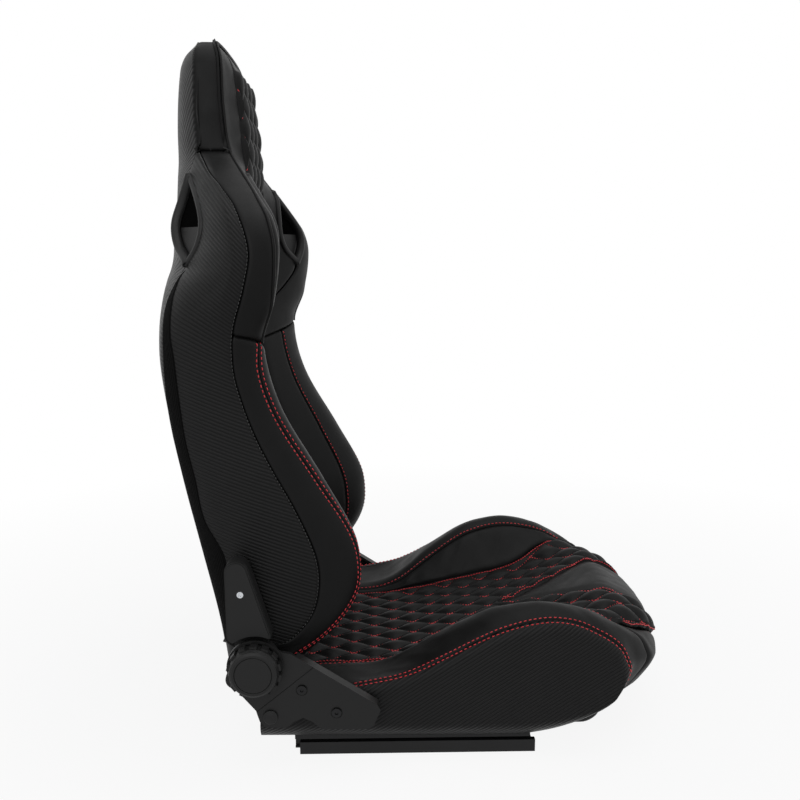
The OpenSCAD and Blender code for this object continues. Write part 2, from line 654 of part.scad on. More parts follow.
// -------------------------------------------------------------- back frame
frame_foot = [-250, 132];
foot_tube = [-246, 132]; // cross tube at the foot, which ends in the two arms
foot_tube_r = 8;
FRAME_PATH = [[165, -254, 132], [165, -289, 300], [165, -328, 490],
    [92, -342, 592], [90, -331, 700], [90, -301, 842], [90, -299, 915]];
module back_frame() {
    r = back_tube_d / 2;
    side = [for (p = FRAME_PATH) [p[0], -p[1], p[2]]];
    other = [for (k = [len(side) - 1:-1:0]) [-side[k][0], side[k][1], side[k][2]]];
    color("#1b1b1d") union() {
        bent_bar(concat(side, other), r, 20, [0, 1, 0]);
        across(foot_tube, foot_tube_r, -arm_in, arm_in);
        across([-342, 592], r - 2, -92, 92);
        across([-310, 400], r - 2, -165, 165);
    }
}
module back_springs() {
    color("#3a3a3e") for (z = [225, 285, 345, 455])
        translate([-154, 276.5 + (z - 225) * 0.2087, z]) rotate([90, 0, 0]) rotate([0, 0, -90])
            translate([0, 0, -1.5]) linear_extrude(3) sinuous(12, 306 / 12, 26, 3);
}

slider_lower(1);  // slider_lower_left
slider_lower(-1);  // slider_lower_right
slider_upper(1);  // slider_upper_left
slider_upper(-1);  // slider_upper_right
slide_handle();
handle_grip();
latch(1);  // latch_left
latch(-1);  // latch_right
cushion_frame();
cushion_springs();
side_plate(1);  // side_plate_left
side_plate(-1);  // side_plate_right
bracket_cover(1);  // bracket_cover_left
bracket_cover(-1);  // bracket_cover_right
bracket_bolts(1);  // bracket_bolts_left
bracket_bolts(-1);  // bracket_bolts_right
recliner_fixed(1);  // recliner_fixed_left
recliner_fixed(-1);  // recliner_fixed_right
cushion_pad();
thigh_bolster(1);  // thigh_bolster_left
thigh_bolster(-1);  // thigh_bolster_right
cushion_side(1);  // cushion_side_left
cushion_side(-1);  // cushion_side_right
recliner_shaft();
knob(1);  // knob_left
knob(-1);  // knob_right
recliner_moving(1);  // recliner_moving_left
recliner_moving(-1);  // recliner_moving_right
recliner_arm(1);  // recliner_arm_left
recliner_arm(-1);  // recliner_arm_right
arm_cover(1);  // arm_cover_left
arm_cover(-1);  // arm_cover_right
cover_screw(1);  // cover_screw_left
cover_screw(-1);  // cover_screw_right
back_frame();
back_springs();
back_pad();
torso_bolster(1);  // torso_bolster_left
torso_bolster(-1);  // torso_bolster_right
shoulder_wing(1);  // shoulder_wing_left
shoulder_wing(-1);  // shoulder_wing_right
headrest_pad();
rear_panel();
slot_bezel(1, true);  // slot_bezel_front_left
slot_bezel(-1, true);  // slot_bezel_front_right
slot_bezel(1, false);  // slot_bezel_rear_left
slot_bezel(-1, false);  // slot_bezel_rear_right
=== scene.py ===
import json
import math

import bmesh
import bpy
import numpy as np
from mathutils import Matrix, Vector

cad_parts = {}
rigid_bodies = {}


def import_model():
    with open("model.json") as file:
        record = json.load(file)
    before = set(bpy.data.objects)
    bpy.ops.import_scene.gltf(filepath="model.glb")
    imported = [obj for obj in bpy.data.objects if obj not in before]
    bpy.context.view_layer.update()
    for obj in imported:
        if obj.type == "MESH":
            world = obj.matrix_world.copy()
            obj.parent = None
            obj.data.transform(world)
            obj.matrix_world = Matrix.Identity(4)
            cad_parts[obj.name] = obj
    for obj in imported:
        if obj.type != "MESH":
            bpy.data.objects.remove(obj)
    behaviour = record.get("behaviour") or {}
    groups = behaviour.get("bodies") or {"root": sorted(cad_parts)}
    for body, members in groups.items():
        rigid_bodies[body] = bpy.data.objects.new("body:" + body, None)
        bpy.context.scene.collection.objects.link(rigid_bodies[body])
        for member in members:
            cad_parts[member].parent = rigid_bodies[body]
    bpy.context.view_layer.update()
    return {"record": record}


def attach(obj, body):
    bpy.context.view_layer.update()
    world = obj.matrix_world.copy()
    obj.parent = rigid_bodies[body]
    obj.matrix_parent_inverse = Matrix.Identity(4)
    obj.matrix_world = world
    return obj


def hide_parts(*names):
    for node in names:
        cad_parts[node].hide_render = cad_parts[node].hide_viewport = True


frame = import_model()

# ---- Studio --------------------------------------------------------------
# A pale sweep lit by large soft boxes: one above, one low on the camera's
# side and one in front of the seat. The camera looks at the seat's right.
CAMERA_AT = (-1.3814, 0.0539, 0.6952)
CAMERA_PITCH = math.radians(9.10)
CAMERA_YAW = math.radians(1.40)
LENS_MM = 39.62
SENSOR_MM = 36.0
SWEEP_HALF, SWEEP_LEVEL = 6.0, -0.0005
FADE_FROM, FADE_TO = 0.5, 1.6
WHITE = "#ffffff"


def linear(hex_colour):
    """Linear RGBA of an sRGB hex colour."""
    channels = [int(hex_colour[i:i + 2], 16) / 255 for i in (1, 3, 5)]
    bent = [c / 12.92 if c <= 0.04045 else ((c + 0.055) / 1.055) ** 2.4 for c in channels]
    return (*bent, 1.0)


def feed(tree, node, links):
    """Set or link a node's inputs, by name or number."""
    for name, value in links.items():
        if isinstance(value, bpy.types.NodeSocket):
            tree.links.new(value, node.inputs[name])
        else:
            node.inputs[name].default_value = value


def add(tree, kind, settings=None, links=None):
    """One shader node with its settings and inputs."""
    node = tree.nodes.new(kind)
    for name, value in (settings or {}).items():
        setattr(node, name, value)
    feed(tree, node, links or {})
    return node


def put_in_scene(name, data):
    obj = bpy.data.objects.new(name, data)
    bpy.context.scene.collection.objects.link(obj)
    return obj


def place_camera():
    camera = put_in_scene("camera", bpy.data.cameras.new("camera"))
    camera.data.lens = LENS_MM
    camera.data.sensor_width = SENSOR_MM
    camera.data.clip_start = 0.01
    camera.location = CAMERA_AT
    level = math.cos(CAMERA_PITCH)
    aim = Vector((level * math.cos(CAMERA_YAW), -level * math.sin(CAMERA_YAW), -math.sin(CAMERA_PITCH)))
    camera.rotation_euler = aim.to_track_quat("-Z", "Y").to_euler()
    bpy.context.scene.camera = camera


def soft_box(name, at, towards, size, watts):
    lamp = bpy.data.lights.new(name, "AREA")
    lamp.shape = "RECTANGLE"
    lamp.size, lamp.size_y = size
    lamp.energy = watts
    obj = put_in_scene(name, lamp)
    obj.location = at
    obj.rotation_euler = (Vector(towards) - Vector(at)).to_track_quat("-Z", "Y").to_euler()


def seen_directly(tree):
    """1 for camera, mirror and glass rays, which see the backdrop as white."""
    path = add(tree, "ShaderNodeLightPath")
    mirrored = add(tree, "ShaderNodeMath", {"operation": "MAXIMUM"}, {
        0: path.outputs["Is Glossy Ray"], 1: path.outputs["Is Transmission Ray"]})
    seen = add(tree, "ShaderNodeMath", {"operation": "MAXIMUM"}, {
        0: path.outputs["Is Camera Ray"], 1: mirrored.outputs[0]})
    return seen.outputs[0]


def studio_world():
    world = bpy.data.worlds.new("studio")
    bpy.context.scene.world = world
    world.use_nodes = True
    tree = world.node_tree
    tree.nodes.clear()
    white = add(tree, "ShaderNodeBackground", links={"Color": linear(WHITE), "Strength": 1.0})
    dim = add(tree, "ShaderNodeBackground", links={"Color": linear("#f2f4f8"), "Strength": 0.25})
    mix = add(tree, "ShaderNodeMixShader", None, {
        0: seen_directly(tree), 1: dim.outputs[0], 2: white.outputs[0]})
    add(tree, "ShaderNodeOutputWorld", links={"Surface": mix.outputs[0]})


def sweep_floor():
    """White paper sweep: it takes the seat's shadow close by and fades to plain white further off."""
    mesh = bpy.data.meshes.new("sweep")
    corners = ((-1, -1), (1, -1), (1, 1), (-1, 1))
    mesh.from_pydata([(SWEEP_HALF * x, SWEEP_HALF * y, SWEEP_LEVEL) for x, y in corners], [], [(0, 1, 2, 3)])
    sweep = put_in_scene("sweep", mesh)
    paper = bpy.data.materials.new("white_paper")
    paper.use_nodes = True
    tree = paper.node_tree
    tree.nodes.clear()
    matt = add(tree, "ShaderNodeBsdfDiffuse", links={"Color": linear("#e6e6e6")})
    glow = add(tree, "ShaderNodeEmission", links={"Color": linear(WHITE), "Strength": 1.0})
    place = add(tree, "ShaderNodeTexCoord")
    distance = add(tree, "ShaderNodeVectorMath", {"operation": "LENGTH"}, {0: place.outputs["Object"]})
    fade = add(tree, "ShaderNodeMapRange", None, {
        "Value": distance.outputs["Value"], "From Min": FADE_FROM, "From Max": FADE_TO,
        "To Min": 0.9, "To Max": 1.0})
    share = add(tree, "ShaderNodeMath", {"operation": "MULTIPLY"}, {
        0: seen_directly(tree), 1: fade.outputs[0]})
    mix = add(tree, "ShaderNodeMixShader", None, {
        0: share.outputs[0], 1: matt.outputs[0], 2: glow.outputs[0]})
    add(tree, "ShaderNodeOutputMaterial", links={"Surface": mix.outputs[0]})
    mesh.materials.append(paper)


place_camera()
studio_world()
sweep_floor()
soft_box("overhead_box", (-0.5, -0.3, 2.6), (0.0, 0.0, 0.5), (2.2, 2.2), 24)
soft_box("camera_side_box", (-2.6, 0.9, 1.5), (0.0, 0.0, 0.45), (1.6, 1.8), 22)
soft_box("front_box", (-0.9, -2.6, 1.3), (0.0, 0.0, 0.5), (1.4, 1.8), 5)
bpy.context.scene.view_settings.view_transform = "Standard"

# ---- Back centre ---------------------------------------------------------
# Foam in PU leather, quilted in diamonds with red thread from the seat up to
# the top of the headrest. All shapes are worked out in millimetres: x across,
# s forward, z up. The tables pair a height with the value there.
BACK_FRONT = [[112, -186], [200, -200], [300, -217], [400, -240], [500, -262], [588, -272],
              [686, -268], [745, -254], [800, -244], [850, -243], [950, -254], [972, -261], [989, -273]]
BACK_REAR = [[112, -290], [200, -303], [300, -325], [400, -347], [500, -366], [570, -373], [650, -366],
             [720, -351], [800, -348], [880, -348], [950, -342], [975, -334], [989, -314]]
CREST_S = [[112, -200], [150, -155], [190, -112], [230, -87], [270, -80], [320, -88], [400, -131],
           [500, -187], [588, -206], [640, -189], [707, -180], [745, -188], [772, -206], [806, -230],
           [842, -255], [900, -263], [965, -266], [989, -274]]
CREST_X = [[112, 204], [250, 206], [520, 205], [588, 216], [650, 235], [707, 240], [745, 228],
           [775, 202], [806, 165], [842, 134], [900, 131], [955, 128], [978, 118], [989, 104]]
REAR_X = [[112, 200], [640, 200], [686, 192], [710, 162], [741, 145], [775, 144], [808, 150],
          [842, 135], [955, 132], [978, 121], [989, 106]]
REAR_S = [[112, 27], [600, 28], [640, 32], [665, 40], [686, 48], [710, 26], [741, 16], [775, 26],
          [808, 38], [842, 47], [880, 45], [955, 39], [978, 30], [989, 14]]
PAD_EDGE = [[588, 112], [620, 134], [655, 172], [686, 192], [710, 162], [741, 145], [775, 144],
            [808, 150], [842, 131]]
BACK_INSIDE = [[112, -236], [300, -268], [500, -300], [588, -306], [842, -282], [989, -284]]
BORDER_X = [[112, 98], [560, 98], [640, 104], [700, 94], [842, 80], [952, 76]]
BACK_FLAT = 60.0
BACK_BOTTOM = 112.0
SEAM_Z = 588.0
NECK_Z = 842.0
QUILT_W, QUILT_L, QUILT_PUFF = 40.0, 64.0, 8.0
QUILT_STEPS = 16
QUILT_TOP = 962.0
SLOT_LOW, SLOT_HIGH = 686.0, 808.0
DEEP_TUCK = (5, 12)


def smooth(points, t):
    """Values at t on the smooth curve through given points."""
    knots, values = np.array(points, float).T
    t = np.asarray(t, float)
    last = len(knots) - 1
    around = np.arange(last + 1)
    before, after = np.maximum(around - 1, 0), np.minimum(around + 1, last)
    slopes = (values[after] - values[before]) / (knots[after] - knots[before])
    i = np.clip(np.searchsorted(knots, t, side="right") - 1, 0, last - 1)
    h = knots[i + 1] - knots[i]
    u = np.clip((t - knots[i]) / h, 0, 1)
    return ((1 + 2 * u) * (1 - u) ** 2 * values[i] + u * (1 - u) ** 2 * h * slopes[i]
            + u * u * (3 - 2 * u) * values[i + 1] + u * u * (u - 1) * h * slopes[i + 1])


def ease(t):
    u = np.clip(t, 0, 1)
    return u * u * (3 - 2 * u)


def back_front(x, z):
    rise = ease((np.abs(x) - BACK_FLAT) / (smooth(CREST_X, z) - BACK_FLAT))
    s0 = smooth(BACK_FRONT, z)
    return s0 + (smooth(CREST_S, z) - s0) * rise


def back_rear(x, z):
    return smooth(BACK_REAR, z) + smooth(REAR_S, z) * (np.abs(x) / smooth(REAR_X, z)) ** 2.5


def quilt(across, along):
    """Height of the stitched diamonds, 0 in their seams, by distance across and along."""
    a, b = across / QUILT_W + along / QUILT_L, across / QUILT_W - along / QUILT_L
    return QUILT_PUFF * np.abs(np.sin(np.pi * a) * np.sin(np.pi * b)) ** 0.55


def unit(vectors):
    return vectors / np.maximum(np.linalg.norm(vectors, axis=-1, keepdims=True), 1e-9)


def outward(points):
    """Unit normals of a grid whose columns run outwards or rearwards and rows upwards."""
    return unit(np.cross(np.gradient(points, axis=1), np.gradient(points, axis=0)))


def run(points, axis):
    """Distance along the surface from the first row or column."""
    step = np.linalg.norm(np.diff(points, axis=axis), axis=2)
    return np.concatenate([np.zeros_like(np.take(step, [0], axis)), np.cumsum(step, axis)], axis)


def tuck(distance, depth, width):
    """How far a cover dips over the last stretch of foam before its seam."""
    return depth * (1 - np.sqrt(1 - (1 - np.clip(distance / width, 0, 1)) ** 2))


def seamed(points, depth, width, edges):
    """Grid with the named edges tucked in: n its last row, s its first, e its last column, w its first."""
    normal = outward(points)
    along, up = run(points, 1), run(points, 0)
    dip = np.zeros(points.shape[:2])
    for edge, gap in (("w", along), ("e", along[:, -1:] - along), ("s", up), ("n", up[-1:] - up)):
        if edge in edges:
            dip = np.maximum(dip, tuck(gap, depth, width))
    return points - normal * dip[..., None]


def rework(mesh, change):
    """Run one bmesh operation on a mesh."""
    work = bmesh.new()
    work.from_mesh(mesh)
    change(work)
    work.to_mesh(mesh)
    work.free()


def pad(name, points, back, side=1, weave=None, split=None, keep=None):
    """Closed pad from a grid of its cover and the matching grid of its back.

    side -1 mirrors it, weave gives the fabric's own coordinates, split the diagonal
    that each cell is cut along, and keep the cells that belong to the pad.
    """
    rows, cols = points.shape[:2]
    flip = np.array([side, 1, 1]) / 1000
    verts = np.concatenate([points.reshape(-1, 3), back.reshape(-1, 3)]) * flip
    i, j = np.meshgrid(np.arange(rows - 1), np.arange(cols - 1), indexing="ij")
    a = (i * cols + j).ravel()
    cells = np.stack([a, a + 1, a + cols + 1, a + cols], 1)
    chosen = np.full(len(cells), True) if keep is None else keep.ravel()
    if split is None:
        cover = cells[chosen].tolist()
    else:
        one = split.ravel()[:, None]
        halves = (np.where(one, cells[:, [0, 1, 2]], cells[:, [0, 1, 3]]),
                  np.where(one, cells[:, [0, 2, 3]], cells[:, [1, 2, 3]]))
        cover = np.concatenate([half[chosen] for half in halves]).tolist()
    count = rows * cols
    behind = (cells[chosen][:, ::-1] + count).tolist()
    edges = {(p, q) for cell in cells[chosen].tolist() for p, q in zip(cell, cell[1:] + cell[:1])}
    skirt = [(q, p, p + count, q + count) for p, q in sorted(edges) if (q, p) not in edges]
    faces = cover + behind + skirt
    used = np.unique(np.array([v for face in faces for v in face]))
    place = np.zeros(2 * count, dtype=np.int64)
    place[used] = np.arange(len(used))
    faces = [[int(place[v]) for v in (face if side > 0 else face[::-1])] for face in faces]
    mesh = bpy.data.meshes.new(name)
    mesh.from_pydata(verts[used].tolist(), [], faces)
    mesh.polygons.foreach_set("use_smooth", [True] * len(cover) + [False] * (len(behind) + len(skirt)))
    if weave is not None:
        layer = mesh.uv_layers.new(name="weave")
        both = np.concatenate([weave.reshape(-1, 2), weave.reshape(-1, 2)])[used] / 1000
        corners = np.empty(len(mesh.loops), dtype=np.int64)
        mesh.loops.foreach_get("vertex_index", corners)
        layer.data.foreach_set("uv", both[corners].ravel())
    rework(mesh, lambda b: bmesh.ops.remove_doubles(b, verts=b.verts, dist=1e-6))
    return put_in_scene(name, mesh)


def grid(x, s, z):
    """Grid of points in millimetres from across, forward and up."""
    return np.stack(np.broadcast_arrays(x, -np.asarray(s, float), z), axis=2).astype(float)


def quilt_split(across, along):
    """Which diagonal each cell is cut along, so that cell edges follow the quilting seams."""
    middle = lambda v: (v[:-1, :-1] + v[1:, 1:]) / 2
    x, y = middle(across) / QUILT_W, middle(along) / QUILT_L
    near = lambda v: np.abs(v - np.round(v))
    return near(x - y) < near(x + y)


def new_material(name):
    """Material with its node tree and its shader."""
    material = bpy.data.materials.new(name)
    material.use_nodes = True
    return material, material.node_tree, material.node_tree.nodes["Principled BSDF"]


def fine_grain(tree, scale_mm, depth_mm, roughness_pair):
    """Pebbled leather grain: cells a millimetre wide with soft creases between."""
    place = add(tree, "ShaderNodeTexCoord")
    cells = add(tree, "ShaderNodeTexVoronoi", {"feature": "SMOOTH_F1"}, {
        "Vector": place.outputs["Object"], "Scale": 1000 / scale_mm,
        "Smoothness": 0.6, "Randomness": 0.9})
    creases = add(tree, "ShaderNodeTexNoise", None, {
        "Vector": place.outputs["Object"], "Scale": 38.0, "Detail": 4.0, "Roughness": 0.55})
    bump = add(tree, "ShaderNodeBump", None, {
        "Strength": 0.55, "Distance": depth_mm / 1000, "Height": cells.outputs["Distance"]})
    soft = add(tree, "ShaderNodeBump", None, {
        "Strength": 0.25, "Distance": 1.2 / 1000, "Height": creases.outputs["Fac"],
        "Normal": bump.outputs[0]})
    low, high = roughness_pair
    shine = add(tree, "ShaderNodeMapRange", None, {
        "Value": creases.outputs["Fac"], "From Min": 0.3, "From Max": 0.7, "To Min": low, "To Max": high})
    return soft.outputs[0], shine.outputs[0], creases.outputs["Fac"]


def pu_leather():
    """Smooth black PU leather, embossed and semi-matt: a soft broad sheen, no mirror."""
    material, tree, shader = new_material("pu_leather")
    normal, shine, tone = fine_grain(tree, 0.9, 0.12, (0.42, 0.54))
    colour = add(tree, "ShaderNodeMix", {"data_type": "RGBA"}, {
        0: tone, 6: linear("#0c0c0c"), 7: linear("#151515")})
    feed(tree, shader, {"Base Color": colour.outputs[2], "Roughness": shine, "Normal": normal,
                        "IOR": 1.49, "Specular IOR Level": 0.11})
    return material


leather = pu_leather()


def wear(obj, material, slot, body, *nodes):
    """Give a piece its material, its body and the nodes it stands for. Its slot argument, the record slot,
    is not used.
    """
    obj.data.materials.append(material)
    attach(obj, body)
    if nodes:
        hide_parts(*nodes)


def upholster(obj, fill, *finish):
    """Finish a padded piece. Its fill argument, how full it is, is not used."""
    wear(obj, *finish)


def quilt_mask(x, z):
    """1 on the quilting, 0 on the plain border round it."""
    return ease((smooth(BORDER_X, z) - np.abs(x)) / 5) * ease((QUILT_TOP - z) / 6)


def quilt_seams(cover, normal, middle, mask):
    """The quilting seams inside a mask, as (line, normals) pairs along the grid's diagonals."""
    rows, cols = mask.shape
    lines = []
    for lean in (1, -1):
        for start in range(-rows, cols + rows):
            if (start - middle) % QUILT_STEPS:
                continue
            k = np.arange(rows)
            j = start + lean * k
            k, j = k[(j >= 0) & (j < cols)], j[(j >= 0) & (j < cols)]
            inside = mask[k, j].astype(int)
            cuts = np.flatnonzero(np.diff(np.concatenate([[0], inside, [0]])))
            lines += [(cover[k[a:b], j[a:b]], normal[k[a:b], j[a:b]])
                      for a, b in zip(cuts[::2], cuts[1::2]) if b - a > 2]
    return lines


def back_centre():
    z = np.concatenate([np.arange(BACK_BOTTOM, 984, QUILT_L / QUILT_STEPS), [984, 986.5, 988.5]])[:, None]
    inner = np.arange(-45, 46) * QUILT_W / QUILT_STEPS
    edge = np.where(z < NECK_Z, np.maximum(smooth(PAD_EDGE, np.maximum(z, SEAM_Z)), inner[-1] + 1),
                    smooth(CREST_X, z) - 1.5)
    out = np.linspace(0, 1, 13)[1:] ** 0.8
    narrow = np.minimum(1, (edge - 1) / inner[-1])
    right = narrow * inner[-1] + (edge - narrow * inner[-1]) * out
    x = np.concatenate([-right[:, ::-1], narrow * inner, right], axis=1)
    z = np.broadcast_to(z, x.shape)
    cover = grid(x, back_front(x, z), z)
    lift = quilt(x, z - BACK_BOTTOM) * quilt_mask(x, z)
    border = np.exp(-((np.abs(x) - smooth(BORDER_X, z)) / 2.2) ** 2) * 2.2
    cover += outward(cover) * (lift - border)[..., None]
    cover = seamed(cover, *DEEP_TUCK, "nsew")
    beside_slots = (z > SLOT_LOW - 22) & (z < SLOT_HIGH + 7)
    rear = np.where(beside_slots, back_rear(x, z) + 8, smooth(BACK_INSIDE, z))
    obj = pad("back_centre", cover, grid(x, rear, z), split=quilt_split(x, z - BACK_BOTTOM))
    upholster(obj, 0.8, leather, "quilted_leather", "backrest", "back_pad")
    whole = (narrow[:, 0] > 0.999)[:, None]
    return quilt_seams(cover, outward(cover), x.shape[1] // 2, (quilt_mask(x, z) > 0.9) & whole)


back_seams = back_centre()

# ---- Back bolsters and wings ---------------------------------------------
# One foam form on each side of the back. Its cover is sewn from smooth
# leather in front, with a cross seam at shoulder height, a double-stitched
# crest seam below it and piping above.
SIDE_X = [[112, 240], [180, 248], [300, 250], [400, 249], [500, 245], [588, 252], [650, 263], [707, 266],
          [745, 256], [775, 232], [806, 194], [842, 141], [900, 136], [955, 132], [978, 121], [989, 106]]
SIDE_S = [[112, -235], [270, -205], [400, -240], [588, -262], [700, -235], [772, -250], [842, -282],
          [989, -290]]
SLOT_X = [[686, 192], [712, 204], [741, 206], [775, 185], [808, 150]]
SLOT_S = [[686, -309], [712, -291], [741, -284], [775, -293], [808, -309]]
SIDE_POWER = [[540, 2.2], [600, 2.0], [678, 1.25], [842, 1.25]]
VINYL_SEAM = [[172, -262], [175, -205], [178, -183], [190, -165], [213, -147], [238, -138], [274, -135],
              [309, -142], [365, -166], [420, -195], [471, -219], [527, -237], [560, -242], [603, -240],
              [657, -224], [706, -216], [758, -233], [788, -256], [806, -274], [827, -289], [842, -299]]
# The seams below pair a height with a station on the side form, see bolster().
CREST_SEAM = [[112, 0.56], [156, 0.49], [174, 0.33], [215, 0.18], [250, 0.09], [320, 0.13], [404, 0.23],
              [500, 0.32], [552, 0.33], [588, 0.22]]
WING_PIPING = [[588, 0.09], [603, 0.04], [662, 0.2], [700, 0.27], [741, 0.29], [784, 0.2], [812, 0.22],
               [842, 0.07]]
# The cross seam pairs a station with its height.
CROSS_SEAM = [[-1, 562], [0, 584], [0.75, 597]]
CROSS_SEAM_REACH = 80.0
VINYL_LOW = 172.0
FACING_SHARE = -0.5
TORSO_ROWS = np.concatenate([np.arange(BACK_BOTTOM, 168, 4), np.arange(168, 192, 1.5),
                             np.arange(192, 587, 4), [SEAM_Z]])
WING_ROWS = np.append(np.arange(SEAM_Z, 840, 3.6), NECK_Z)
TORSO_PADDING, WING_PADDING = 8.0, 7.0
CREST_TUCK, WING_TUCK, CROSS_TUCK = (2.4, 7), (2.6, 7), (3.2, 8)
STITCH_GAP, FACING_STITCH_GAP = 5.3, 4.0
STITCH_SIDES = 6
# Rings of one stitch: shares of its length, its radius and its lift.
STITCH_PROFILE = [(-0.5, 0.35, -0.55), (-0.28, 1, 0.25), (0.28, 1, 0.25), (0.5, 0.35, -0.55)]
SIDES = ((1, "left"), (-1, "right"))


def in_slot(z):
    return (z > SLOT_LOW) & (z < SLOT_HIGH)


def rear_corner(z):
    x = smooth(REAR_X, z)
    s = back_rear(x, z)
    share = ease((z - SLOT_LOW + 6) / 12) * ease((SLOT_HIGH + 6 - z) / 12)
    return x + (smooth(SLOT_X, z) - x) * share, s + (smooth(SLOT_S, z) - s) * share


def bolster(p, z):
    """Side form at station p: -1 inner edge, 0 crest, 1 side, 2 rear corner."""
    inner = np.where(in_slot(z), smooth(SLOT_X, z), smooth(PAD_EDGE, z))
    xc, sc, xs, ss = (smooth(curve, z) for curve in (CREST_X, CREST_S, SIDE_X, SIDE_S))
    rx, rs = rear_corner(z)
    power = 2 / smooth(SIDE_POWER, z)
    x0 = inner + (xc - inner) * (np.clip(p, -1, 0) + 1)
    a, b = np.radians(90 * np.clip(p, 0, 1)), np.radians(90 * np.clip(p - 1, 0, 1))
    far_x = rx + (xs - rx) * np.maximum(np.cos(b), 0) ** power
    far_s = ss + (rs - ss) * np.sin(b) ** power
    x = np.where(p < 0, x0, np.where(p < 1, xc + (xs - xc) * np.sin(a), far_x))
    s = np.where(p < 0, back_front(x0, z), np.where(p < 1, ss + (sc - ss) * np.cos(a), far_s))
    return grid(x, s, z)


def station(s, z):
    """Station on the side form, from the crest rearwards, that lies s forward at height z."""
    sc, ss = smooth(CREST_S, z), smooth(SIDE_S, z)
    rs = rear_corner(z)[1]
    before = np.arccos(np.clip((s - ss) / (sc - ss), 0, 1))
    behind = np.arcsin(np.clip((ss - s) / (ss - rs), 0, 1) ** (smooth(SIDE_POWER, z) / 2))
    return np.where(s >= ss, before, np.pi / 2 + behind) / (np.pi / 2)


def vinyl_station(z):
    return np.where(z < VINYL_LOW, 2.0, station(smooth(VINYL_SEAM, z), z))


def panel_points(first, last, heights, cols):
    """Grid over the side form between two station curves, its rows bent along the cross seam."""
    share = np.linspace(0, 1, cols)[None, :]
    level = np.asarray(heights, float)[:, None]
    z = level + 0 * share
    for _ in range(3):
        p = first(z) + (last(z) - first(z)) * share
        z = level + (smooth(CROSS_SEAM, p) - SEAM_Z) * ease(1 - np.abs(level - SEAM_Z) / CROSS_SEAM_REACH)
    return bolster(p, z)


def sheet_back(points, thickness):
    return points - outward(points) * thickness


def inset(points, edge, distance):
    """Line on a grid at a distance in from one edge, with its normals."""
    normal = outward(points)
    if edge in "sn":
        points, normal = points.swapaxes(0, 1), normal.swapaxes(0, 1)
    along = run(points, 1)
    target = along[:, -1] - distance if edge in "en" else np.full(len(along), float(distance))
    keep = along[:, -1] > distance * 1.2
    pick = lambda field: np.array([[np.interp(target[i], along[i], field[i, :, k]) for k in range(3)]
                                   for i in range(len(along)) if keep[i]])
    return pick(points), unit(pick(normal))


def mesh_piece(name, verts, faces, side=1):
    """Object from millimetre points; side -1 is the mirror image."""
    mesh = bpy.data.meshes.new(name)
    if side < 0:
        faces = [face[::-1] for face in faces]
    mesh.from_pydata((np.asarray(verts) * np.array([side, 1, 1]) / 1000).tolist(), [], faces)
    mesh.polygons.foreach_set("use_smooth", [True] * len(mesh.polygons))
    mesh.update()
    return put_in_scene(name, mesh)


def tube_faces(rings, sides, closed=False):
    """Faces between rings of points, with a cap at each end unless the rings close up."""
    pairs = [(a, (a + 1) % rings) for a in range(rings if closed else rings - 1)]
    faces = [[a * sides + i, b * sides + i, b * sides + (i + 1) % sides, a * sides + (i + 1) % sides]
             for a, b in pairs for i in range(sides)]
    if not closed:
        last = (rings - 1) * sides
        faces += [list(range(sides)), list(range(last + sides - 1, last - 1, -1))]
    return faces


def bonded_thread(name, dark, light):
    """Bonded polyester thread with the slight sheen of twisted filament."""
    material, tree, shader = new_material(name)
    place = add(tree, "ShaderNodeTexCoord")
    worn = add(tree, "ShaderNodeTexNoise", None, {
        "Vector": place.outputs["Object"], "Scale": 260.0, "Detail": 2.0})
    colour = add(tree, "ShaderNodeMix", {"data_type": "RGBA"}, {
        0: worn.outputs["Fac"], 6: linear(dark), 7: linear(light)})
    feed(tree, shader, {"Base Color": colour.outputs[2], "Roughness": 0.5,
                        "IOR": 1.53, "Sheen Weight": 0.25})
    return material


red_thread = bonded_thread("red_bonded_thread", "#c4131f", "#e62632")


def distance_along(line):
    return np.concatenate([[0], np.cumsum(np.linalg.norm(np.diff(line, axis=0), axis=1))])


def sew(name, rows, side=1, pitch=7.0, length=4.8, thick=1.3):
    """Row of lock stitches along each (line, normals) pair: short and round, they dive at both ends."""
    centres, aheads, rises = [], [], []
    for line, up in rows:
        gone = distance_along(line)
        marks = np.arange(pitch / 2, gone[-1], pitch)
        at = lambda field, where: np.stack([np.interp(where, gone, field[:, k]) for k in range(3)], 1)
        centres.append(at(line, marks))
        aheads.append(at(line, marks + length / 2) - at(line, marks - length / 2))
        rises.append(at(up, marks))
    centre, ahead, rise = (np.concatenate(part) for part in (centres, aheads, rises))
    ahead = unit(ahead)
    across = unit(np.cross(ahead, rise))
    rise = np.cross(across, ahead)
    turn = np.arange(STITCH_SIDES) * 2 * np.pi / STITCH_SIDES
    reach, radius, lift = (np.array(STITCH_PROFILE) * [length, thick / 2, thick]).T[:, :, None]
    local = np.stack(np.broadcast_arrays(reach, radius * np.cos(turn), radius * np.sin(turn) + lift), 2)
    verts = (centre[:, None, None] + local[None, ..., :1] * ahead[:, None, None]
             + local[None, ..., 1:2] * across[:, None, None] + local[None, ..., 2:] * rise[:, None, None])
    one = tube_faces(len(STITCH_PROFILE), STITCH_SIDES)
    count = len(STITCH_PROFILE) * STITCH_SIDES
    faces = [[v + count * m for v in face] for m in range(len(centre)) for face in one]
    return mesh_piece(name, verts.reshape(-1, 3), faces, side)


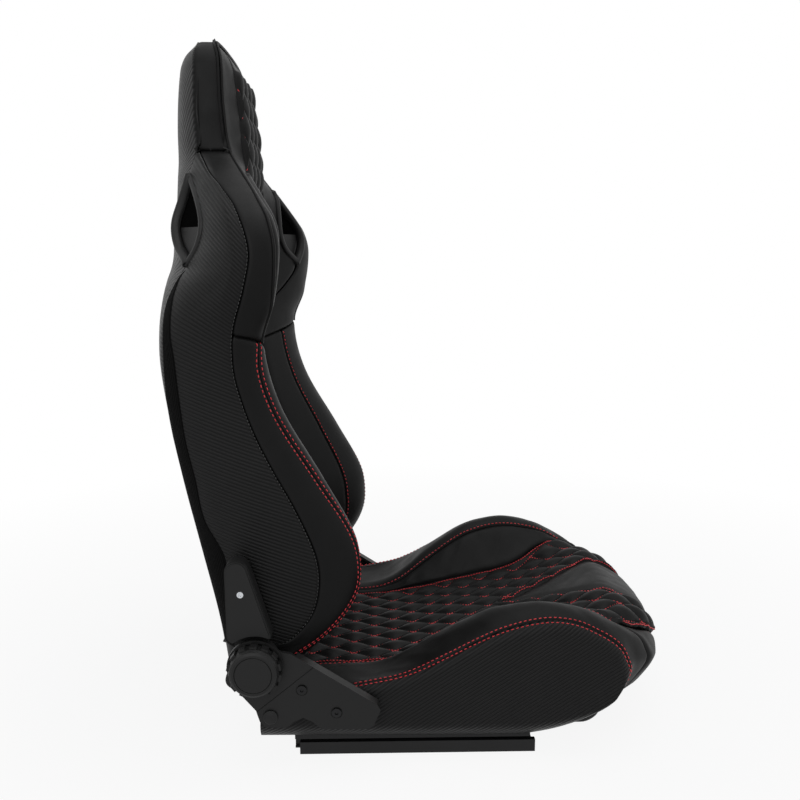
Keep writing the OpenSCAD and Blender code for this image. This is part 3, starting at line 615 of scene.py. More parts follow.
def cover_pieces(side, suffix):
    torso, wing = "torso_bolster_" + suffix, "shoulder_wing_" + suffix
    inner_edge, facing_edge = lambda z: np.full_like(z, -1.0), lambda z: np.full_like(z, FACING_SHARE)
    crest, piping = lambda z: smooth(CREST_SEAM, z), lambda z: smooth(WING_PIPING, z)
    red_rows = []
    for part, first, last, cols, inner_tuck in (
            ("facing", inner_edge, facing_edge, 18, DEEP_TUCK),
            ("inner", facing_edge, crest, 32, CREST_TUCK),
            ("band", crest, vinyl_station, 34, CREST_TUCK)):
        cover = seamed(panel_points(first, last, TORSO_ROWS, cols), *inner_tuck, "w")
        cover = seamed(seamed(cover, *CREST_TUCK, "e"), *CROSS_TUCK, "n")
        if part != "facing":
            red_rows.append(inset(cover, "e" if part == "inner" else "w", STITCH_GAP))
        if part == "inner":
            red_rows.append(inset(cover, "w", FACING_STITCH_GAP))
        piece = pad("torso_%s_%s" % (part, suffix), cover, sheet_back(cover, TORSO_PADDING), side)
        upholster(piece, 0.9, leather, "smooth_leather", "backrest", torso)
    for part, first, last, cols in (("inner", inner_edge, piping, 36), ("band", piping, vinyl_station, 26)):
        cover = seamed(panel_points(first, last, WING_ROWS, cols), *WING_TUCK, "we")
        cover = seamed(cover, *CROSS_TUCK, "sn")
        piece = pad("wing_%s_%s" % (part, suffix), cover, sheet_back(cover, WING_PADDING), side)
        upholster(piece, 0.9, leather, "smooth_leather", "backrest", wing)
    wear(sew("crest_stitches_" + suffix, red_rows, side), red_thread, "smooth_leather", "backrest")


for side, suffix in SIDES:
    cover_pieces(side, suffix)

# ---- Carbon-look side panels ---------------------------------------------
# Embossed vinyl with diagonal ribs, one long panel down each side of the
# back. It is sewn to the leather in front of it with dark thread.
RIB_PITCH, YARN_PITCH = 4.6, 1.5
RIB_LEAN = [[112, 22], [520, 22], [640, 38], [760, 48], [842, 60], [989, 64]]
LEAN_FROM = -260.0
VINYL_PADDING = 6.0
VINYL_TUCK = (2.2, 6)


def rib_count(z):
    """Height as it is counted across the ribs, which lean more towards the top."""
    step = 2.0
    heights = np.arange(-400, 1500, step)
    return np.interp(z, heights, np.cumsum(np.cos(np.radians(smooth(RIB_LEAN, heights))) * step))


def back_ribs(s, z):
    """Distances across and along the ribs of the back's vinyl, in millimetres."""
    root = z
    for _ in range(14):
        root = z + (s - LEAN_FROM) * np.tan(np.radians(smooth(RIB_LEAN, root)))
    along = (s - LEAN_FROM) / np.cos(np.radians(smooth(RIB_LEAN, root)))
    return np.stack([rib_count(root), along], 2)


def weave_wave(tree, axis, pitch_mm):
    """Sine wave over the fabric's own coordinates, one turn for each pitch."""
    layer = add(tree, "ShaderNodeUVMap", {"uv_map": "weave"})
    split = add(tree, "ShaderNodeSeparateXYZ", None, {0: layer.outputs[0]})
    turns = add(tree, "ShaderNodeMath", {"operation": "MULTIPLY"}, {
        0: split.outputs[axis], 1: 2 * math.pi * 1000 / pitch_mm})
    return add(tree, "ShaderNodeMath", {"operation": "SINE"}, {0: turns.outputs[0]}).outputs[0]


def embossed_vinyl():
    """Vinyl embossed like carbon twill. Its colour is painted lighter on the raised ribs as a painted
    highlight and darker in the valleys as painted shade.
    """
    material, tree, shader = new_material("embossed_carbon_vinyl")
    rib = add(tree, "ShaderNodeMapRange", {"interpolation_type": "SMOOTHSTEP"}, {
        "Value": weave_wave(tree, "X", RIB_PITCH), "From Min": -0.85, "From Max": 0.75})
    yarn = add(tree, "ShaderNodeMath", {"operation": "MULTIPLY_ADD"}, {
        0: weave_wave(tree, "Y", YARN_PITCH), 1: 0.10, 2: rib.outputs[0]})
    place = add(tree, "ShaderNodeTexCoord")
    rubbed = add(tree, "ShaderNodeTexNoise", None, {
        "Vector": place.outputs["Object"], "Scale": 22.0, "Detail": 5.0})
    # Painted highlight and painted shade: the colour goes lighter on the rib crests and darker in the
    # valleys.
    colour = add(tree, "ShaderNodeMix", {"data_type": "RGBA"}, {
        0: rib.outputs[0], 6: linear("#060606"), 7: linear("#191919")})
    bump = add(tree, "ShaderNodeBump", None, {
        "Strength": 0.75, "Distance": 0.7 / 1000, "Height": yarn.outputs[0]})
    shine = add(tree, "ShaderNodeMapRange", None, {
        "Value": rubbed.outputs["Fac"], "From Min": 0.3, "From Max": 0.7, "To Min": 0.36, "To Max": 0.46})
    feed(tree, shader, {"Base Color": colour.outputs[2], "Roughness": shine.outputs[0],
                        "Normal": bump.outputs[0], "IOR": 1.52, "Specular IOR Level": 0.12})
    return material


vinyl = embossed_vinyl()
black_thread = bonded_thread("black_bonded_thread", "#020202", "#0c0c0c")


def side_vinyl(side, suffix):
    rows = np.concatenate([np.arange(VINYL_LOW, 192, 1.5), np.arange(193, 840, 3.6), [NECK_Z]])
    points = panel_points(vinyl_station, lambda z: np.full_like(z, 2.0), rows, 52)
    cover = seamed(points, *VINYL_TUCK, "wn")
    weave = back_ribs(-points[..., 1], points[..., 2])
    obj = pad("side_vinyl_" + suffix, cover, sheet_back(cover, VINYL_PADDING), side, weave)
    upholster(obj, 0.9, vinyl, "carbon_vinyl", "backrest")
    stitches = sew("vinyl_stitches_" + suffix, [inset(cover, "w", 2.0)], side, pitch=5.0, length=3.8)
    wear(stitches, black_thread, "carbon_vinyl", "backrest")


for side, suffix in SIDES:
    side_vinyl(side, suffix)

# ---- Elastic side strips -------------------------------------------------
# A tapering gusset of ribbed elastic in each side panel, between the vinyl of
# the side and the vinyl of the rear, which lets the cover stretch over foam.
STRIP_FRONT = [[112, -235], [200, -250], [300, -259], [350, -286], [406, -296], [459, -308], [513, -314],
               [566, -318], [598, -322], [643, -320], [658, -317], [674, -312], [683, -306]]
STRIP_REAR = [[112, -272], [200, -280], [300, -300], [400, -322], [500, -336], [557, -337], [610, -336],
              [635, -333], [661, -323], [674, -315], [683, -307]]
STRIP_TOP = 683.0
STRIP_PROUD, STRIP_THICK = 0.9, 2.0
CORD_PITCH = 3.0


def ribbed_elastic():
    """Knitted black elastic: matt, with fine cords along its length."""
    material, tree, shader = new_material("ribbed_elastic")
    cord = weave_wave(tree, "X", CORD_PITCH)
    # Painted shade: the colour is painted darker between the cords and lighter on them, following the cord
    # wave.
    shade = add(tree, "ShaderNodeMapRange", None, {"Value": cord, "From Min": -1.0})
    colour = add(tree, "ShaderNodeMix", {"data_type": "RGBA"}, {
        0: shade.outputs[0], 6: linear("#020202"), 7: linear("#0a0a0a")})
    bump = add(tree, "ShaderNodeBump", None, {"Strength": 0.7, "Distance": 0.5 / 1000, "Height": cord})
    feed(tree, shader, {"Base Color": colour.outputs[2], "Normal": bump.outputs[0],
                        "Roughness": 0.9, "Specular IOR Level": 0.08})
    return material


elastic = ribbed_elastic()


def side_strip(side, suffix):
    front = lambda z: station(smooth(STRIP_FRONT, z), z)
    rear = lambda z: station(smooth(STRIP_REAR, z), z)
    points = panel_points(front, rear, np.arange(VINYL_LOW, STRIP_TOP, 4), 16)
    cover = seamed(points + outward(points) * STRIP_PROUD, 1.6, 4, "we")
    weave = np.stack([run(points, 1), points[..., 2]], 2)
    obj = pad("side_strip_" + suffix, cover, sheet_back(cover, STRIP_THICK), side, weave)
    upholster(obj, 0.9, elastic, "carbon_vinyl", "backrest")


for side, suffix in SIDES:
    side_strip(side, suffix)

# ---- Rear panel ----------------------------------------------------------
# The back of the backrest: the same vinyl over a moulded shell, left open at
# the harness slots and carried up behind the headrest.
REAR_COLUMNS = np.sin(np.linspace(-1, 1, 61) * math.pi / 2)
REAR_PADDING = 4.5
REAR_WEAVE_FROM = -300.0


def rear_cover():
    z = np.concatenate([np.arange(BACK_BOTTOM, 975, 4), np.arange(975, 990, 2)])[:, None]
    narrowed = ease((z - SLOT_LOW + 4) / 8) * ease((SLOT_HIGH + 4 - z) / 8)
    edge = smooth(REAR_X, z) + (smooth(PAD_EDGE, z) - smooth(REAR_X, z)) * narrowed
    x = -REAR_COLUMNS[None, :] * edge
    points = grid(x, back_rear(x, z), z + 0 * x)
    cover = seamed(points, 1.5, 4, "we")
    across = run(points, 1)
    middle = across[:, len(REAR_COLUMNS) // 2, None]
    weave = back_ribs(REAR_WEAVE_FROM - np.abs(across - middle), points[..., 2])
    obj = pad("rear_cover", cover, sheet_back(points, REAR_PADDING), 1, weave)
    upholster(obj, 1.0, vinyl, "carbon_vinyl", "backrest", "rear_panel")


rear_cover()

# ---- Headrest ------------------------------------------------------------
# The integral headrest: a band of smooth leather runs up one side, over the
# top and down the other, between the quilted face and the rear vinyl. The
# wing's piping carries on along its front edge.
HEAD_TOP = 989.0
HEAD_PIPING = [[842, 0.07], [868, 0.0], [989, 0.0]]
TOP_SHARES = np.concatenate([np.linspace(1, 0.82, 7)[1:], np.linspace(0.82, 0, 20)[1:]])
CROWN_FORWARD, CROWN_UP = 2.0, 1.6
PIPING_RADIUS, PIPING_SINK = 2.3, 0.6


def frames(line, up, closed=False):
    """Unit directions across and up at each point of a line."""
    ahead = unit(np.roll(line, -1, 0) - np.roll(line, 1, 0) if closed else np.gradient(line, axis=0))
    across = unit(np.cross(ahead, up))
    return across, np.cross(across, ahead)


def sweep_section(name, line, up, section, side=1, closed=False):
    """Bar of one section, its (across, up) points listed anticlockwise seen from the start."""
    across, rise = frames(line, up, closed)
    section = np.asarray(section, float)
    verts = line[:, None] + across[:, None] * section[None, :, :1] + rise[:, None] * section[None, :, 1:]
    return mesh_piece(name, verts.reshape(-1, 3), tube_faces(len(line), len(section), closed), side)


def round_section(radius, sides=10, sink=0.0):
    turn = np.arange(sides) * 2 * np.pi / sides
    return np.stack([radius * np.cos(turn), radius * np.sin(turn) - sink], 1)


def head_band_points():
    stations = np.linspace(0, 2, 45)[None, :]
    rows = np.concatenate([[NECK_Z], np.arange(846, 984, 4), [985, 987.5, HEAD_TOP]])[:, None]
    start = smooth(HEAD_PIPING, rows)
    left = bolster(start + (2 - start) * stations / 2, rows + 0 * stations)
    top = left[-1]
    depth = (top[:, 1] - top[0, 1]) / (top[-1, 1] - top[0, 1])
    over = np.stack([top * [f, 1, 1] + np.outer(depth, [0, REAR_S[-1][1] * (1 - f ** 2.5), 0])
                     + [0, -CROWN_FORWARD * (1 - f * f), CROWN_UP * (1 - f ** 4)] for f in TOP_SHARES])
    half = np.concatenate([left, over])
    return np.concatenate([half, half[-2::-1] * [-1, 1, 1]])


def head_band():
    cover = seamed(head_band_points(), *WING_TUCK, "we")
    cover = seamed(cover, *CROSS_TUCK, "sn")
    obj = pad("head_band", cover, sheet_back(cover, WING_PADDING))
    upholster(obj, 0.9, leather, "smooth_leather", "backrest", "headrest_pad")


def crest_piping():
    """Leather-covered cord sewn into the crest from one shoulder over the headrest to the other."""
    rows = np.arange(SEAM_Z, NECK_Z, 3.6)
    wing = panel_points(lambda z: smooth(WING_PIPING, z), vinyl_station, rows, 26)
    head = head_band_points()
    line, up = (np.concatenate([w[:, 0], h[:, 0], w[::-1, 0] * [-1, 1, 1]])
                for w, h in ((wing, head), (outward(wing), outward(head))))
    bead = sweep_section("crest_piping", line, up, round_section(PIPING_RADIUS, sink=PIPING_SINK))
    wear(bead, leather, "smooth_leather", "backrest")


head_band()
crest_piping()

# ---- Lower lip of the back -----------------------------------------------
# The back's leather is rolled under a strip of foam and tucks down behind the
# cushion, so that no light shows between the two.
# Forward and up, round the roll.
LIP = np.array([(-190, 122), (-189, 112), (-191, 103), (-197, 93.5), (-205.5, 87.5), (-215, 89),
                (-223, 98), (-228, 110), (-230, 122)])
LIP_HALF = 182.0
LIP_TOP = 118.0
LIP_RISE = 14.0
SEAT_FLAT = 118.0


def face_out(piece):
    """Turn all faces of a closed mesh outwards."""
    rework(piece.data, lambda b: bmesh.ops.recalc_face_normals(b, faces=b.faces))


def lower_lip():
    """Roll of leather and foam whose ends rise over the cushion's thigh bolsters."""
    x = np.linspace(-LIP_HALF, LIP_HALF, 75)[:, None]
    marks = np.linspace(0, len(LIP) - 1, 33)
    s, z = (smooth(np.stack([np.arange(len(LIP)), LIP[:, k]], 1), marks)[None, :] for k in (0, 1))
    height = z + LIP_RISE * ease((np.abs(x) - SEAT_FLAT) / 60) * np.clip((LIP_TOP - z) / 28, 0, 1)
    piece = mesh_piece("back_lower_lip", grid(x, s, height).reshape(-1, 3), tube_faces(len(x), len(marks)))
    face_out(piece)
    upholster(piece, 0.8, leather, "smooth_leather", "backrest")


lower_lip()

# ---- Harness slots -------------------------------------------------------
# Each slot is lined with moulded plastic: a rounded rim in front, another
# behind, and a thin black sleeve between them that holds the foam open. The
# sleeve's near-black colour and faint reflection paint the shade deep in the slot.
SLOT_MID, SLOT_HALF = 747.0, 61.0
SLOT_POINTS = 72
# Across and up, round the rim's section.
RIM_SECTION = [(-2.4, -9), (-0.6, -7), (2.4, -5), (3.2, -0.5), (2.2, 2.6), (-0.6, 4.2), (-3.4, 4.2),
               (-5.8, 2.6), (-6.8, -0.5), (-6.0, -5), (-4.6, -9)]
SLEEVE_SHARES, SLEEVE_SET_IN = (0.05, 0.11), 6
GUIDE_SHARE, GUIDE_SET_IN = 0.09, 9
GUIDE_TOP = 741.0


def moulded_plastic(name, dark, light, gloss, reflection=0.25):
    """Textured polypropylene: matt black with a fine spark-eroded grain, paler where it is rubbed."""
    material, tree, shader = new_material(name)
    place = add(tree, "ShaderNodeTexCoord")
    grain = add(tree, "ShaderNodeTexNoise", None, {
        "Vector": place.outputs["Object"], "Scale": 1400.0, "Detail": 3.0, "Roughness": 0.6})
    rubbed = add(tree, "ShaderNodeTexNoise", None, {
        "Vector": place.outputs["Object"], "Scale": 14.0, "Detail": 5.0, "Roughness": 0.6})
    colour = add(tree, "ShaderNodeMix", {"data_type": "RGBA"}, {
        0: rubbed.outputs["Fac"], 6: linear(dark), 7: linear(light)})
    shine = add(tree, "ShaderNodeMapRange", None, {
        "Value": rubbed.outputs["Fac"], "From Min": 0.3, "From Max": 0.7,
        "To Min": gloss, "To Max": gloss + 0.12})
    bump = add(tree, "ShaderNodeBump", None, {
        "Strength": 0.35, "Distance": 0.3 / 1000, "Height": grain.outputs["Fac"]})
    feed(tree, shader, {"Base Color": colour.outputs[2], "Roughness": shine.outputs[0],
                        "Normal": bump.outputs[0], "IOR": 1.49, "Specular IOR Level": reflection})
    return material


rim_plastic = moulded_plastic("textured_polypropylene", "#131313", "#1b1b1b", 0.4)
# Painted shade: the sleeve is a real black plastic lining, but its near-black colour and almost absent
# reflection paint the deep shade inside the slot.
sleeve_plastic = moulded_plastic("black_polyethylene_painted_shade", "#030303", "#070707", 0.7, 0.03)


def sharp_edged(piece):
    """Show every face flat."""
    piece.data.polygons.foreach_set("use_smooth", [False] * len(piece.data.polygons))


def slot_loop(front):
    """Closed line round the slot's mouth: up its outer side and down its inner side."""
    turn = np.arange(SLOT_POINTS) * 2 * np.pi / SLOT_POINTS
    z = SLOT_MID - SLOT_HALF * np.cos(turn)
    outer = turn < np.pi
    x = np.where(outer, smooth(SLOT_X, z), smooth(PAD_EDGE, z))
    s = back_front(x, z) if front else np.where(outer, smooth(SLOT_S, z), back_rear(x, z))
    line = np.stack([x, -s, z], 1)
    for _ in range(3):
        line = (np.roll(line, 1, 0) + 2 * line + np.roll(line, -1, 0)) / 4
    return line


def slot_parts(side, suffix):
    front, rear = slot_loop(True), slot_loop(False)
    for where, line, forward in (("front", front, -1.0), ("rear", rear[::-1], 1.0)):
        up = np.tile([0.0, forward, 0.0], (SLOT_POINTS, 1))
        rim = sweep_section("slot_rim_%s_%s" % (where, suffix), line, up, RIM_SECTION, side, closed=True)
        wear(rim, rim_plastic, "moulded_plastic", "backrest", "slot_bezel_%s_%s" % (where, suffix))
    centre = (front.mean(0) + rear.mean(0)) / 2 * [1, 0, 1]

    def lining(mouth, share, set_in):
        """The line of a mouth drawn towards the slot's middle and set in from its face."""
        return mouth + (centre - mouth * [1, 0, 1]) * share + [0, set_in, 0]

    near, far = SLEEVE_SHARES
    loops = [lining(rear, near, -SLEEVE_SET_IN), lining(rear, far, -SLEEVE_SET_IN),
             lining(front, far, SLEEVE_SET_IN), lining(front, near, SLEEVE_SET_IN)]
    faces = tube_faces(len(loops), SLOT_POINTS, closed=True)
    sleeve = mesh_piece("slot_sleeve_" + suffix, np.concatenate(loops), faces, side)
    wear(sleeve, sleeve_plastic, "moulded_plastic", "backrest")
    low = np.flatnonzero(front[:, 2] <= GUIDE_TOP)
    low = np.roll(low, np.sum(low > SLOT_POINTS // 2))
    ends = [lining(front, GUIDE_SHARE, GUIDE_SET_IN)[low], lining(rear, GUIDE_SHARE, -GUIDE_SET_IN)[low]]
    guide = mesh_piece("slot_guide_" + suffix, np.concatenate(ends), tube_faces(2, len(low)), side)
    sharp_edged(guide)
    wear(guide, rim_plastic, "moulded_plastic", "backrest")


for side, suffix in SIDES:
    slot_parts(side, suffix)

# ---- Cushion centre ------------------------------------------------------
# Moulded foam under one leather cover. The middle is quilted like the back,
# with a plain panel that opens like a V towards the front edge. The tables
# pair a distance forward with the value there.
CENTRE_Z = [[-190, 94], [-60, 94], [20, 103], [74, 116], [144, 131], [200, 147], [250, 165], [290, 179],
            [320, 185]]
THIGH_Z = [[-190, 103], [-120, 106], [-62, 110], [-25, 124], [31, 164], [95, 203], [130, 214], [172, 219],
           [215, 213], [254, 199], [283, 177], [305, 153]]
THIGH_X = [[-190, 166], [-25, 169], [31, 184], [95, 200], [170, 210], [305, 205]]
SIDE_Z = [[-220, 79], [-165, 93], [-102, 112], [-19, 129], [29, 150], [70, 171], [111, 190], [152, 202],
          [189, 206], [225, 199], [256, 181], [280, 152]]
# Down the nose from the top (0) to its lower edge (1): share of its height, and how far it swells.
NOSE_SHARE = [[-0.167, 1.03], [0, 1], [0.167, 0.82], [0.333, 0.63], [0.5, 0.48], [0.667, 0.26],
              [0.833, 0.09], [1, 0]]
NOSE_REACH = [[-0.167, -40], [0, 0], [0.167, 42], [0.333, 57], [0.5, 63], [0.667, 46], [0.833, 28], [1, 8]]
NOSE_FRONT, NOSE_BOW, NOSE_CORNER = 322.0, 0.00098, 16.0
NOSE_LOW, NOSE_CORNER_RISE = 40.0, 30.0
SEAT_REAR = -190.0
TOP_FRONT = 304.0
FOAM_BASE = 72.0
FOAM_SET_BACK = 34.0
SIDE_SEAM_X = 240.0
QUILT_EDGE = [[-190, 140], [180, 140], [240, 161], [290, 184], [320, 188]]
# Distance from the middle, and share of the nose's height where its fold runs.
FOLD_SHARE = [[0, 0.45], [60, 0.48], [110, 0.6], [150, 0.8], [188, 1.0]]
V_TIP = 144.0
V_SPREAD = 0.42
V_WIDEST = 76.0
V_PUFF, V_SEAM_DEPTH, V_SEAM_WIDTH = 2.5, 2.2, 2.0
PLAIN_BORDER = 3.0
SEAT_COLUMNS = 76
UNDER_FLAT, UNDER_SLOPE = 430.0, 0.04
EDGE_STITCH, V_STITCH, FRONT_STITCH, FRONT_STITCH_HALF = 4.5, 2.5, 6.0, 180.0


def nose_reach(x):
    return NOSE_FRONT - NOSE_BOW * x * x - NOSE_CORNER * ease((np.abs(x) - 170) / 60)


def nose_bottom(x):
    return NOSE_LOW + NOSE_CORNER_RISE * ease((np.abs(x) - 80) / 120)


def cushion_height(x, s):
    middle, crest, width = smooth(CENTRE_Z, s), smooth(THIGH_Z, s), smooth(THIGH_X, s)
    a = np.abs(x)
    inside = middle + (crest - middle) * ease((a - SEAT_FLAT) / (width - SEAT_FLAT))
    outside = crest + (smooth(SIDE_Z, s) - crest) * (np.maximum(a - width, 0) / (SIDE_SEAM_X - width)) ** 2
    return np.where(a < width, inside, outside)


def cushion_skin(x, r):
    """Cushion surface at x and r: 0 front lower edge, 1 where the top starts, 2 rear."""
    x, r = np.broadcast_arrays(np.asarray(x, float), np.asarray(r, float))
    reach = nose_reach(x)
    front = np.minimum(TOP_FRONT, reach - 4)
    u = np.clip(1 - r, 0, 1)
    s = SEAT_REAR + np.clip(2 - r, 0, 1) * (front - SEAT_REAR)
    z = cushion_height(x, s)
    shrink = 1 - 0.2 * ease((np.abs(x) - 170) / 70)
    nose = front + (reach - 4 - front) * np.minimum(6 * u, 1) + smooth(NOSE_REACH, u) * shrink
    s = np.where(r < 1, nose, s)
    low = nose_bottom(x)
    z = np.where(r < 1, low + (z - low) * smooth(NOSE_SHARE, u), z)
    points = np.stack([x, -s, z], 2)
    for _ in range(6):
        points[1:-1] = (points[:-2] + 2 * points[1:-1] + points[2:]) / 4
    return points


FRONT_ROWS = 44
SKIN_ROWS = np.concatenate([np.linspace(0, 1, FRONT_ROWS + 1)[:-1], np.linspace(1, 2, 130)])[:, None]


def fold_row(x):
    """Row r where the fold under the front border runs at x."""
    shares = np.linspace(0, 1, 101)
    return np.interp(smooth(FOLD_SHARE, np.abs(x)), smooth(NOSE_SHARE, 1 - shares), shares)


def leather_folds(points, depth, length):
    """Shallow drape wrinkles of loose leather, a few centimetres long."""
    x, y, z = points[..., 0], points[..., 1], points[..., 2]
    wave = (np.sin((x * 0.9 + y * 0.35) / length + 1.3 * np.sin(y / (2.1 * length)))
            * np.sin((y - 0.4 * z) / (1.7 * length) + 1.1 * np.sin(x / (1.9 * length))))
    return depth * np.sign(wave) * np.abs(wave) ** 1.6


def resample(where, known, field):
    """A grid of points read at other distances down each of its columns."""
    columns = [np.stack([np.interp(where[:, j], known[:, j], field[:, j, k]) for k in range(3)], 1)
               for j in range(field.shape[1])]
    return np.stack(columns, 1)


def drawn_in(points, x, edge):
    """Grid whose points beyond the quilting's edge are pulled back onto it, along their row."""
    moved = points.copy()
    for row in range(len(points)):
        out = np.abs(x) > edge[row]
        target = np.clip(x, -edge[row], edge[row])[out]
        for k in range(3):
            moved[row, out, k] = np.interp(target, x, points[row, :, k])
    return moved


def cushion_centre():
    x = np.arange(-SEAT_COLUMNS, SEAT_COLUMNS + 1) * QUILT_W / QUILT_STEPS
    start = fold_row(x)
    rows = start + (2 - start) * np.linspace(0, 1, 400)[:, None]
    skin = cushion_skin(x[None, :] + 0 * SKIN_ROWS, SKIN_ROWS)
    fine = resample(rows, np.broadcast_to(SKIN_ROWS, skin.shape[:2]), skin)[::-1]
    gone = run(fine, 0)
    length = gone[-1]
    steps = np.arange(QUILT_STEPS * math.ceil(length.max() / QUILT_L) + 1) * QUILT_L / QUILT_STEPS
    along = np.broadcast_to(steps[::-1, None], (len(steps), len(x)))
    points = resample(along[::-1], gone, fine)[::-1]
    reach = along - length[None, :]
    spaced = points.copy()
    spaced[..., 2] -= np.maximum(reach, 0)
    normal = outward(spaced)
    s = -points[..., 1]
    edge = smooth(QUILT_EDGE, s)
    inside = (np.abs(x)[None, :] < edge - 1e-6) & (reach < -1e-6)
    snapped = drawn_in(points, x, edge)
    a, b = np.meshgrid(np.arange(len(points) - 1), np.arange(len(x) - 1), indexing="ij")
    keep = inside[a, b] | inside[a + 1, b] | inside[a, b + 1] | inside[a + 1, b + 1]
    rim = np.minimum(edge - np.abs(snapped[..., 0]), -reach)
    vee = np.minimum((s - V_TIP) * V_SPREAD, V_WIDEST)
    outside_vee = np.where(s > V_TIP, np.abs(snapped[..., 0]) - vee, 30)
    mask = ease((rim - PLAIN_BORDER) / 5) * ease(outside_vee / 4) * ease(along / 10)
    across = np.broadcast_to(x[None, :], along.shape)
    lift = quilt(across, along) * mask
    lift -= V_SEAM_DEPTH * np.exp(-(outside_vee / V_SEAM_WIDTH) ** 2) * ease((rim - 4) / 6)
    lift += V_PUFF * ease(-outside_vee / 22) * ease((rim - 6) / 12)
    lift -= tuck(np.maximum(rim, 0), 5, 7)
    lift += leather_folds(points, 0.35, 7.0) * (1 - mask)
    cover = snapped + normal * lift[..., None]
    under = cover.copy()
    under[..., 1] = -np.minimum(s, nose_reach(snapped[..., 0]) - FOAM_SET_BACK)
    under[..., 2] = FOAM_BASE + UNDER_SLOPE * np.maximum(along - UNDER_FLAT, 0)
    obj = pad("cushion_centre", cover, under, split=quilt_split(across, along), keep=keep)
    upholster(obj, 0.8, leather, "quilted_leather", "carriage", "cushion_pad")
    lines = quilt_seams(cover, normal, SEAT_COLUMNS, (mask > 0.9) & inside)

    def trace(near_x, offset, half_width, covered):
        """Stitch lines beside both edges of some half width, over the rows that are covered at near_x."""
        column = np.argmin(np.abs(x - near_x))
        rows = np.flatnonzero(covered[:, column])
        for side in (-1, 1):
            target = side * (half_width[:, column] + offset)
            yield [np.array([[np.interp(target[k], x, field[k, :, c]) for c in range(3)] for k in rows])
                   for field in (cover, normal)]

    lines += trace(150, -EDGE_STITCH, edge, (reach < -6) & (along > 6))
    lines += trace(60, V_STITCH, vee, (reach < -8) & (s > V_TIP + 4))
    columns = np.flatnonzero(np.abs(x) < FRONT_STITCH_HALF)
    lines.append([np.array([[np.interp(FRONT_STITCH - length[j], -along[:, j], field[:, j, c])
                             for c in range(3)] for j in columns]) for field in (cover, normal)])
    return lines


cushion_seams = cushion_centre()
for name, seams, body in (("cushion", cushion_seams, "carriage"), ("back", back_seams, "backrest")):
    raised = [(line + up * 0.9, up) for line, up in seams]
    wear(sew(name + "_quilt_stitches", raised, 1, 5.0, 4.0, 1.5), red_thread, "quilted_leather", body)

# ---- Thigh bolsters and nose ---------------------------------------------
# Smooth leather over the same foam: an inner facing between the quilting and
# the crest seam, a band from there to the side seam that runs down round the
# front, and the plain nose below the fold.
CREST_INSET = 20.0
# Row r of the cushion, and half the nose's width there.
NOSE_EDGE = [[0, 203], [0.5, 196], [1, 188]]
NOSE_X = np.linspace(-205, 205, 83)
NOSE_SKIN = cushion_skin(NOSE_X[None, :] + 0 * SKIN_ROWS, SKIN_ROWS)
# The grids below are fitted from this half width in a few passes.
FIRST_GUESS_X = 190.0
FOAM_HALF, FOAM_LEDGE, LEDGE_BASE = 226.0, 214.0, 60.0
FOAM_FALL, FOAM_FALL_RUN = 0.02, 200.0
FACING_TUCK, FACING_TUCK_WIDTH = 5.0, 9.0
THIGH_STITCH, SIDE_STITCH = 4.5, 4.2


def crest_seam_x(s):
    return np.maximum(smooth(THIGH_X, s) - CREST_INSET, smooth(QUILT_EDGE, s) + 1)


def cushion_patch(first, last, rows, cols):
    """Grid over the cushion between two lines, each a half width at (s, r)."""
    share = np.linspace(0, 1, cols)[None, :]
    x = np.full((len(rows), cols), FIRST_GUESS_X)
    for _ in range(4):
        s = -cushion_skin(x, rows)[..., 1]
        x = first(s, rows) + (last(s, rows) - first(s, rows)) * share
    return cushion_skin(x, rows)


def foam_under(cover):
    """Underside of a thigh bolster: nearly level, lower along its outer edge where the side panel starts."""
    under = cover.copy()
    under[..., 0] = np.minimum(cover[..., 0], FOAM_HALF)
    under[..., 1] = -np.minimum(-cover[..., 1], nose_reach(cover[..., 0]) - FOAM_SET_BACK)
    fall = FOAM_FALL * (np.minimum(run(cover, 0), FOAM_FALL_RUN) + run(cover, 1))
    under[..., 2] = np.where(cover[..., 0] > FOAM_LEDGE, LEDGE_BASE, FOAM_BASE) - fall
    return under


def band_inner(s, r):
    return np.where(r < 1, smooth(NOSE_EDGE, np.clip(r, 0, 1)), crest_seam_x(s))


def thigh_covers(side, suffix):
    node = "thigh_bolster_" + suffix
    top_rows = np.linspace(1, 2, 120)[:, None]
    facing = cushion_patch(lambda s, r: smooth(QUILT_EDGE, s), lambda s, r: crest_seam_x(s), top_rows, 16)
    across = run(facing, 1)
    width = across[:, -1:]
    gap = np.minimum(across, width - across)
    sunk = tuck(gap, np.minimum(FACING_TUCK, width * 0.3), FACING_TUCK_WIDTH)
    folds = leather_folds(facing, 1.1, 6.5) * np.clip(gap / FACING_TUCK_WIDTH, 0, 1)
    cover = facing + outward(facing) * (folds - sunk)[..., None]
    piece = pad("thigh_facing_" + suffix, cover, foam_under(cover), side)
    upholster(piece, 0.9, leather, "smooth_leather", "carriage", node)
    band = cushion_patch(band_inner, lambda s, r: SIDE_SEAM_X + 0 * s, SKIN_ROWS, 30)
    cover = seamed(seamed(band, *WING_TUCK, "w"), *VINYL_TUCK, "e")
    cover += outward(band) * leather_folds(band, 0.5, 9.0)[..., None]
    piece = pad("thigh_band_" + suffix, cover, foam_under(cover), side)
    upholster(piece, 0.9, leather, "smooth_leather", "carriage", node)
    rows = [inset(cover[FRONT_ROWS:], "w", THIGH_STITCH), inset(cover, "e", SIDE_STITCH)]
    wear(sew("thigh_stitches_" + suffix, rows, side), red_thread, "smooth_leather", "carriage")


